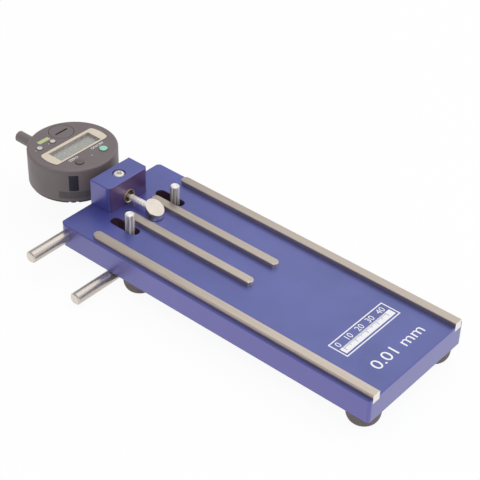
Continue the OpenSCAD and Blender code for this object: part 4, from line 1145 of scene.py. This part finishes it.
class GAUGE_OT_bright_parts(bpy.types.Operator):
    """Dress the rods, pins, shafts, spindle, probe and stem in turned steel"""

    bl_idname = "gauge.bright_parts"
    bl_label = "Bright parts"

    def execute(self, context):
        colours = context.scene.gauge_colours
        bright = colours.bright
        rod = colours.rod
        pin = colours.pin
        polished = 0.0004 * MM
        # Painted highlight: the rods' end faces take the bright steel colour
        rods = turned_finish("rod_steel", rod, rod, AROUND_X, 0.2, polished, end=("X", bright))
        dress(("fixed_squeeze_rod", "moving_squeeze_rod"), rods)
        shafts = turned_finish("spindle_steel", bright, colours.bright_line, AROUND_Y, 0.12, polished)
        dress(("spindle", "left_guide_shaft", "right_guide_shaft"), shafts)
        shank = turned_finish("shank_steel", pin, pin, AROUND_Y, 0.2, polished, metal=0.6)
        dress(("probe_shank",), shank)
        # Painted reflection: the pins' sides are streaked dark and light, their tops plain
        streaked = {"stretch": 1.0, "metal": 0.6, "end": ("Z", pin)}
        pins = turned_finish("pin_steel", pin, colours.pin_line, ALONG_Z, 0.3, polished, **streaked)
        dress(("left_datum_pin", "right_datum_pin", "anti_rotation_pin", "battery_cell"), pins)
        rise = PROBE_HIGH.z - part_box("probe_shank")[0].z
        slant = math.atan2(rise, PROBE_HIGH.y - PROBE_LOW.y)
        dress(("probe_head",), faced_finish(colours, middle_of("probe_head"), slant))
        stem = turned_finish("stem_steel", colours.stem, dimmed(colours.stem, 0.7), AROUND_Y, 0.2)
        dress(("indicator_stem",), stem)
        return {"FINISHED"}


class GAUGE_OT_hardware(bpy.types.Operator):
    """Dress the screws, bushes, carriage and feet"""

    bl_idname = "gauge.hardware"
    bl_label = "Screws, bushes, carriage and feet"

    def execute(self, context):
        colours = context.scene.gauge_colours
        screw = colours.screw
        marks = even(0.4 * MM)
        plated = turned_finish("plated_screw", screw, dimmed(screw, 0.75), marks, 0.3, metal=0.4)
        screws = [name for name in frame["nodes"] if name.endswith(("screws", "screw"))]
        dress(screws, plated)
        brass = turned_finish("turned_brass", colours.brass, dimmed(colours.brass, 0.7), AROUND_Y, 0.2)
        dress(("carriage_bushes", "stem_guide_bush", "rear_guide_bush"), brass)
        dress(("stem_clamp_pad", "battery_contact"), brass)
        alloy = milled_finish("milled_alloy", colours.alloy, dimmed(colours.alloy, 0.82))
        dress(("pin_carriage", "scale_carrier"), alloy)
        feet = ("front_left_foot", "front_right_foot", "rear_left_foot", "rear_right_foot")
        dress(feet, rubber_finish("foot_rubber", colours.rubber))
        return {"FINISHED"}


class GAUGE_OT_springs(bpy.types.Operator):
    """Wind the carriage springs and the spindle's spring, and dress the head's ring"""

    bl_idname = "gauge.springs"
    bl_label = "Springs"

    def execute(self, context):
        fittings = context.scene.gauge_fittings
        wire = context.scene.gauge_colours.wire
        marks = (2 * MM, 0.3 * MM, 2 * MM)
        steel = turned_finish("spring_wire", wire, dimmed(wire, 0.75), marks, 0.22)
        carriage = ("carriage_slide", fittings.carriage_wire, fittings.carriage_turns)
        springs = {
            "left_carriage_spring": carriage,
            "right_carriage_spring": carriage,
            "spindle_spring": ("spindle_slide", fittings.spindle_wire, fittings.spindle_turns),
        }
        dress(("head_ring", *springs), steel)
        tree = spring_tree()
        for node, (joint, thick, turns) in springs.items():
            low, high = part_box(node)
            middle = middle_of(node)
            long = high.y - low.y
            mesh = grown(tree, {
                "Turns": turns,
                "Coil radius": (high.x - low.x - thick) / 2,
                "Wire radius": thick / 2,
                "Length": long,
                "Points per turn": 28,
                "Finish": steel,
            })
            mesh.transform(Matrix.Translation((middle.x, low.y, middle.z)))
            mesh.shade_smooth()
            name = node.replace("spring", "coil")
            coil = add_piece(name, mesh, "base", steel)
            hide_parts(node)
            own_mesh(coil)
        return {"FINISHED"}


class GAUGE_OT_indicator(bpy.types.Operator):
    """Dress the indicator's case, caps and inner parts"""

    bl_idname = "gauge.indicator"
    bl_label = "Indicator"

    def execute(self, context):
        colours = context.scene.gauge_colours
        case = moulded_finish("case_plastic", colours.case, 0.42)
        dress(("indicator_case", "display_head"), case)
        # Painted shade: the battery cover's sides below the face take the dark gap colour
        painted_slot_shade = (FACE_Z - 0.2 * MM, 0.2 * MM, colours.recess)
        dress(("battery_cover",), moulded_finish("cover_plastic", colours.case, 0.42, low=painted_slot_shade))
        dress(("spindle_cap",), moulded_finish("cap_plastic", colours.cap, 0.36))
        dress(("back_cover",), moulded_finish("back_plastic", colours.back, 0.4))
        tracks = striped_finish("board_tracks", colours.board, colours.copper, even(9 * MM), 0.35, 0.1)
        dress(("circuit_board", "reader_board"), tracks)
        dark = colours.key_dark
        dress(("key_switches",), moulded_finish("switch_plastic", dark, 0.5))
        marks = (ENDLESS, 1.2 * MM, ENDLESS)
        dress(("encoder_scale",), striped_finish("scale_lines", colours.glass, dark, marks, 0.12, 0.3))
        marks = (1.6 * MM, ENDLESS, ENDLESS)
        layers = striped_finish("connector_rubber", colours.rubber, colours.alloy, marks, 0.6, 0.0)
        dress(("lcd_connector",), layers)
        return {"FINISHED"}


class GAUGE_OT_display(bpy.types.Operator):
    """Dress the display, line its opening in painted shade, and draw its idle segments and the painted
    shade of the face's grooves
    """

    bl_idname = "gauge.display"
    bl_label = "Display"

    def execute(self, context):
        colours = context.scene.gauge_colours
        # Painted shade: the frame's wall below its top, and a lining on the opening's walls, take the
        # reveal colour
        reveal = (BEZEL_HIGH.z - 0.15 * MM, 0.1 * MM, colours.reveal)
        cream = moulded_finish("cream_plastic", colours.cream, 0.4, 0.4 * MM, 0.01 * MM, reveal)
        dress(("display_bezel",), cream)
        painted_shade_lining = moulded_finish("shade_lining_plastic", colours.reveal, 0.5)
        x0, y0 = WINDOW_LOW.xy
        x1, y1 = WINDOW_HIGH.xy
        gaps = (0.01 * MM, 0.04 * MM)
        loops = [bar_outline(x0 - gap, y0 - gap, x1 + gap, y1 + gap) for gap in gaps]
        mesh = ring_mesh(*loops, PANEL_TOP, WINDOW_HIGH.z)
        add_piece("window_shade_lining", mesh, "display_head", painted_shade_lining)
        fittings = context.scene.gauge_fittings
        dress(("lcd_panel",), display_finish(colours, fittings.display_border))
        dress(("lcd_window",), window_finish(colours))
        segment = print_finish("idle_segment", colours.segment, 0.35)
        sizes = context.scene.gauge_print
        mesh = grown(row_tree(), {
            "Copies": sizes.digit_count,
            "Step": (sizes.digit_pitch, 0.0, 0.0),
            "Finish": segment,
        }, digit_mesh(sizes.digit_width, sizes.digit_height, sizes.digit_stroke))
        first = FACE_X - sizes.digit_pitch * (sizes.digit_count - 1) / 2
        mesh.transform(Matrix.Translation((first, middle_of("lcd_panel").y, PANEL_TOP)))
        add_piece("display_segments", mesh, "display_head", segment)
        # Painted shade: dark rings drawn on the face around the frame and each key
        wide = fittings.face_groove
        overlap = 0.1 * MM
        rings = [ring_mesh(bezel_outline(fittings, -overlap), bezel_outline(fittings, wide))]
        for node in KEY_NODES:
            low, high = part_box(node)
            reach = (high.x - low.x) / 2 - fittings.key_lip
            loops = [disc_outline(node, radius) for radius in (reach, reach + wide)]
            rings.append(ring_mesh(*loops))
        groove_shade = moulded_finish("face_groove", colours.recess, 0.5)
        add_piece("painted_groove_shades", joined(rings), "display_head", groove_shade)
        return {"FINISHED"}


class GAUGE_OT_keys(bpy.types.Operator):
    """Mould the four domed keys"""

    bl_idname = "gauge.keys"
    bl_label = "Keys"

    def execute(self, context):
        colours = context.scene.gauge_colours
        fittings = context.scene.gauge_fittings
        light = key_finish("light_key", colours.key_light, 0.38)
        finishes = {
            "on_off_key": (key_finish("green_key", colours.key_green, 0.34), "key_green"),
            "zero_key": (key_finish("dark_key", colours.key_dark, 0.4), "key_dark"),
            "left_small_key": (light, "key_light"),
            "right_small_key": (light, "key_light"),
        }
        for node in KEY_NODES:
            finish, slot = finishes[node]
            dress((node,), finish)
            low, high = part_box(node)
            foot = (high.x - low.x) / 2
            radius = foot - fittings.key_lip
            flange = low.z + fittings.key_flange
            shoulder = high.z - fittings.key_dome
            profile = [(0, low.z), (foot, low.z), (foot, flange), (radius, flange), (radius, shoulder)]
            steps = 8
            for step in range(1, steps):
                turn = math.radians(90) * step / steps
                profile.append((radius * math.cos(turn), shoulder + fittings.key_dome * math.sin(turn)))
            profile.append((0, high.z))
            mesh = lathe_mesh(profile, *middle_of(node).xy)
            mesh.set_sharp_from_angle(angle=math.radians(50))
            key = add_piece(node + "_dome", mesh, node, finish)
            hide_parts(node)
        return {"FINISHED"}


class GAUGE_OT_case_details(bpy.types.Operator):
    """Add the ribs, the painted shade between them, and the bare dark label on the side of the case"""

    bl_idname = "gauge.case_details"
    bl_label = "Case details"

    def execute(self, context):
        colours = context.scene.gauge_colours
        fittings = context.scene.gauge_fittings
        case = bpy.data.materials["case_plastic"]
        mesh = grown(rib_tree(), {
            "Ribs": fittings.rib_count,
            "Arc radius": CASE_RADIUS - fittings.rib_sunk,
            "Span": fittings.rib_span,
            "Gap": fittings.rib_gap,
            "Rib width": fittings.rib_width,
            "Rib height": fittings.rib_height,
            "Finish": case,
        })
        level = CASE_LOW.z + fittings.rib_start + fittings.rib_height / 2
        mesh.transform(Matrix.Translation((FACE_X, FACE_Y, level)))
        add_piece("case_ribs", mesh, "base", case)
        # Painted shade: dark bands on the case behind the ribs
        groove_shade = moulded_finish("rib_groove", colours.rib_groove, 0.5)
        aside = (fittings.rib_span + fittings.rib_gap) / 4
        width = (fittings.rib_span - fittings.rib_gap) / 2
        bands = [
            band_mesh(middle, width, fittings.rib_start, fittings.rib_height, PRINT_DEPTH)
            for middle in (-aside, aside)
        ]
        add_piece("rib_groove_shades", joined(bands), "base", groove_shade)
        label = print_finish("dark_label", colours.dark_label, 0.3)
        mesh = band_mesh(
            -fittings.label_turn,
            fittings.label_width,
            fittings.label_low,
            fittings.label_height,
            fittings.label_rise,
        )
        add_piece("side_label", mesh, "base", label)
        return {"FINISHED"}


class GAUGE_OT_face_print(bpy.types.Operator):
    """Print the words and marks at the keys and lay the bare lime label"""

    bl_idname = "gauge.face_print"
    bl_label = "Face print"

    def execute(self, context):
        colours = context.scene.gauge_colours
        sizes = context.scene.gauge_print
        white = print_finish("face_white", colours.print_white)
        meshes = []
        for node, words in (("on_off_key", "ON/OFF"), ("zero_key", "ZERO")):
            x, y = middle_of(node).xy
            meshes.append(word_mesh(words, x, y + sizes.word_rise, FACE_Z, sizes.key_word))
        dots = [(FACE_X + sizes.dot_aside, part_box("zero_key")[0].y + sizes.dot_rise)]
        for node in ("left_small_key", "right_small_key"):
            dots.append((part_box(node)[0].x - sizes.dot_gap, middle_of(node).y))
        for x, y in dots:
            outline = round_outline(x, y, sizes.dot_width, sizes.dot_width, sizes.dot_width / 2)
            meshes.append(sheet_mesh(outline, FACE_Z, PRINT_DEPTH))
        add_piece("face_words", joined(meshes), "display_head", white)
        lime = print_finish("lime_label", colours.lime, 0.4)
        x = FACE_X - sizes.lime_left
        y = FACE_Y + sizes.lime_up
        outline = round_outline(x, y, sizes.lime_width, sizes.lime_height, sizes.lime_corner)
        label = sheet_mesh(outline, FACE_Z, 2 * PRINT_DEPTH)
        add_piece("lime_label", label, "display_head", lime)
        return {"FINISHED"}


class GAUGE_OT_plate_print(bpy.types.Operator):
    """Print a plain ruled scale and a plain unit on the plate"""

    bl_idname = "gauge.plate_print"
    bl_label = "Plate print"

    def execute(self, context):
        colours = context.scene.gauge_colours
        sizes = context.scene.gauge_print
        white = print_finish("plate_white", colours.print_white)
        blue = print_finish("plate_blue", colours.blue_deep)
        middle = PLATE_X + sizes.panel_aside
        base = PLATE_HIGH.z
        left = middle - sizes.panel_width / 2
        right = middle + sizes.panel_width / 2
        near = PLATE_LOW.y + sizes.panel_in
        far = near + sizes.panel_height
        line = sizes.frame_line
        outlines = [
            bar_outline(left, near, right, near + line),
            bar_outline(left, far - line, right, far),
            bar_outline(left, near + line, left + line, far - line),
            bar_outline(right - line, near + line, right, far - line),
        ]
        clear = 1.5 * line
        band = (left + line + clear, near + line + clear)
        band_top = band[1] + sizes.band_height
        outlines.append(bar_outline(band[0], band[1], right - line - clear, band_top))
        meshes = [sheet_mesh(outline, base, PRINT_DEPTH) for outline in outlines]
        first = band[0] + sizes.tick_start
        number_y = (band_top + far - line) / 2
        for number in range(0, sizes.last_tick + 1, 10):
            x = first + number * sizes.tick_pitch
            meshes.append(word_mesh(str(number), x, number_y, base, sizes.number_height))
        caption_y = PLATE_LOW.y + sizes.caption_in + sizes.caption_height / 2
        meshes.append(
            word_mesh("0.01 mm", middle, caption_y, base, sizes.caption_height, sizes.caption_width)
        )
        add_piece("plate_scale", joined(meshes), "base", white)
        ticks = []
        tree = row_tree()
        half = sizes.tick_width / 2
        tick_depth = PRINT_DEPTH + 0.01 * MM
        for every, tall in ((1, sizes.tick_short), (5, sizes.tick_middle), (10, sizes.tick_long)):
            outline = bar_outline(first - half, band_top - tall, first + half, band_top)
            ticks.append(grown(tree, {
                "Copies": sizes.last_tick // every + 1,
                "Step": (every * sizes.tick_pitch, 0.0, 0.0),
                "Finish": blue,
            }, sheet_mesh(outline, base, tick_depth)))
        add_piece("plate_ticks", joined(ticks), "base", blue)
        return {"FINISHED"}


class GAUGE_OT_stage(bpy.types.Operator):
    """Set the white floor, the soft lamps, the sky and the camera"""

    bl_idname = "gauge.stage"
    bl_label = "Stage"

    def execute(self, context):
        scene = context.scene
        stage = scene.gauge_stage
        scene.view_settings.view_transform = "Standard"
        add_floor(stage)
        add_sky(scene, stage)
        add_lamp("top_lamp", stage.top_lamp, size=1.5, place=(0.1, 0.0, 1.4), aim=(0.0, 0.0, 0.0))
        add_lamp("right_lamp", stage.right_lamp, size=1.0, place=(0.95, 0.2, 0.75))
        add_lamp("front_lamp", stage.front_lamp, size=1.8, place=(0.7, -1.0, 0.9))
        add_lamp("camera_lamp", stage.camera_lamp, size=0.5, place=(-0.9, -0.6, 1.0))
        add_camera(scene, stage)
        return {"FINISHED"}


# Sidebar and registration

GROUPS = {
    "gauge_colours": GaugeColours,
    "gauge_print": GaugePrint,
    "gauge_fittings": GaugeFittings,
    "gauge_stage": GaugeStage,
}
OPERATORS = (
    GAUGE_OT_anodised_parts,
    GAUGE_OT_rails,
    GAUGE_OT_bright_parts,
    GAUGE_OT_hardware,
    GAUGE_OT_springs,
    GAUGE_OT_indicator,
    GAUGE_OT_display,
    GAUGE_OT_keys,
    GAUGE_OT_case_details,
    GAUGE_OT_face_print,
    GAUGE_OT_plate_print,
    GAUGE_OT_stage,
)


class GAUGE_PT_sidebar(bpy.types.Panel):
    """The gauge's operators and their values"""

    bl_label = "Flange Width Gauge"
    bl_idname = "GAUGE_PT_sidebar"
    bl_space_type = "VIEW_3D"
    bl_region_type = "UI"
    bl_category = "Gauge"

    def draw(self, context):
        for operator in OPERATORS:
            self.layout.operator(operator.bl_idname)
        for group, kind in GROUPS.items():
            box = self.layout.box()
            box.label(text=kind.__doc__)
            for name in kind.__annotations__:
                box.prop(getattr(context.scene, group), name)


def register():
    for kind in (*GROUPS.values(), *OPERATORS, GAUGE_PT_sidebar):
        bpy.utils.register_class(kind)
    for name, kind in GROUPS.items():
        setattr(bpy.types.Scene, name, bpy.props.PointerProperty(type=kind))


def unregister():
    for name in GROUPS:
        delattr(bpy.types.Scene, name)
    for kind in (GAUGE_PT_sidebar, *reversed(OPERATORS), *reversed(GROUPS.values())):
        bpy.utils.unregister_class(kind)


def main():
    register()
    bpy.ops.gauge.anodised_parts()
    bpy.ops.gauge.rails()
    bpy.ops.gauge.bright_parts()
    bpy.ops.gauge.hardware()
    bpy.ops.gauge.springs()
    bpy.ops.gauge.indicator()
    bpy.ops.gauge.display()
    bpy.ops.gauge.keys()
    bpy.ops.gauge.case_details()
    bpy.ops.gauge.face_print()
    bpy.ops.gauge.plate_print()
    bpy.ops.gauge.stage()


if __name__ == "__main__":
    main()
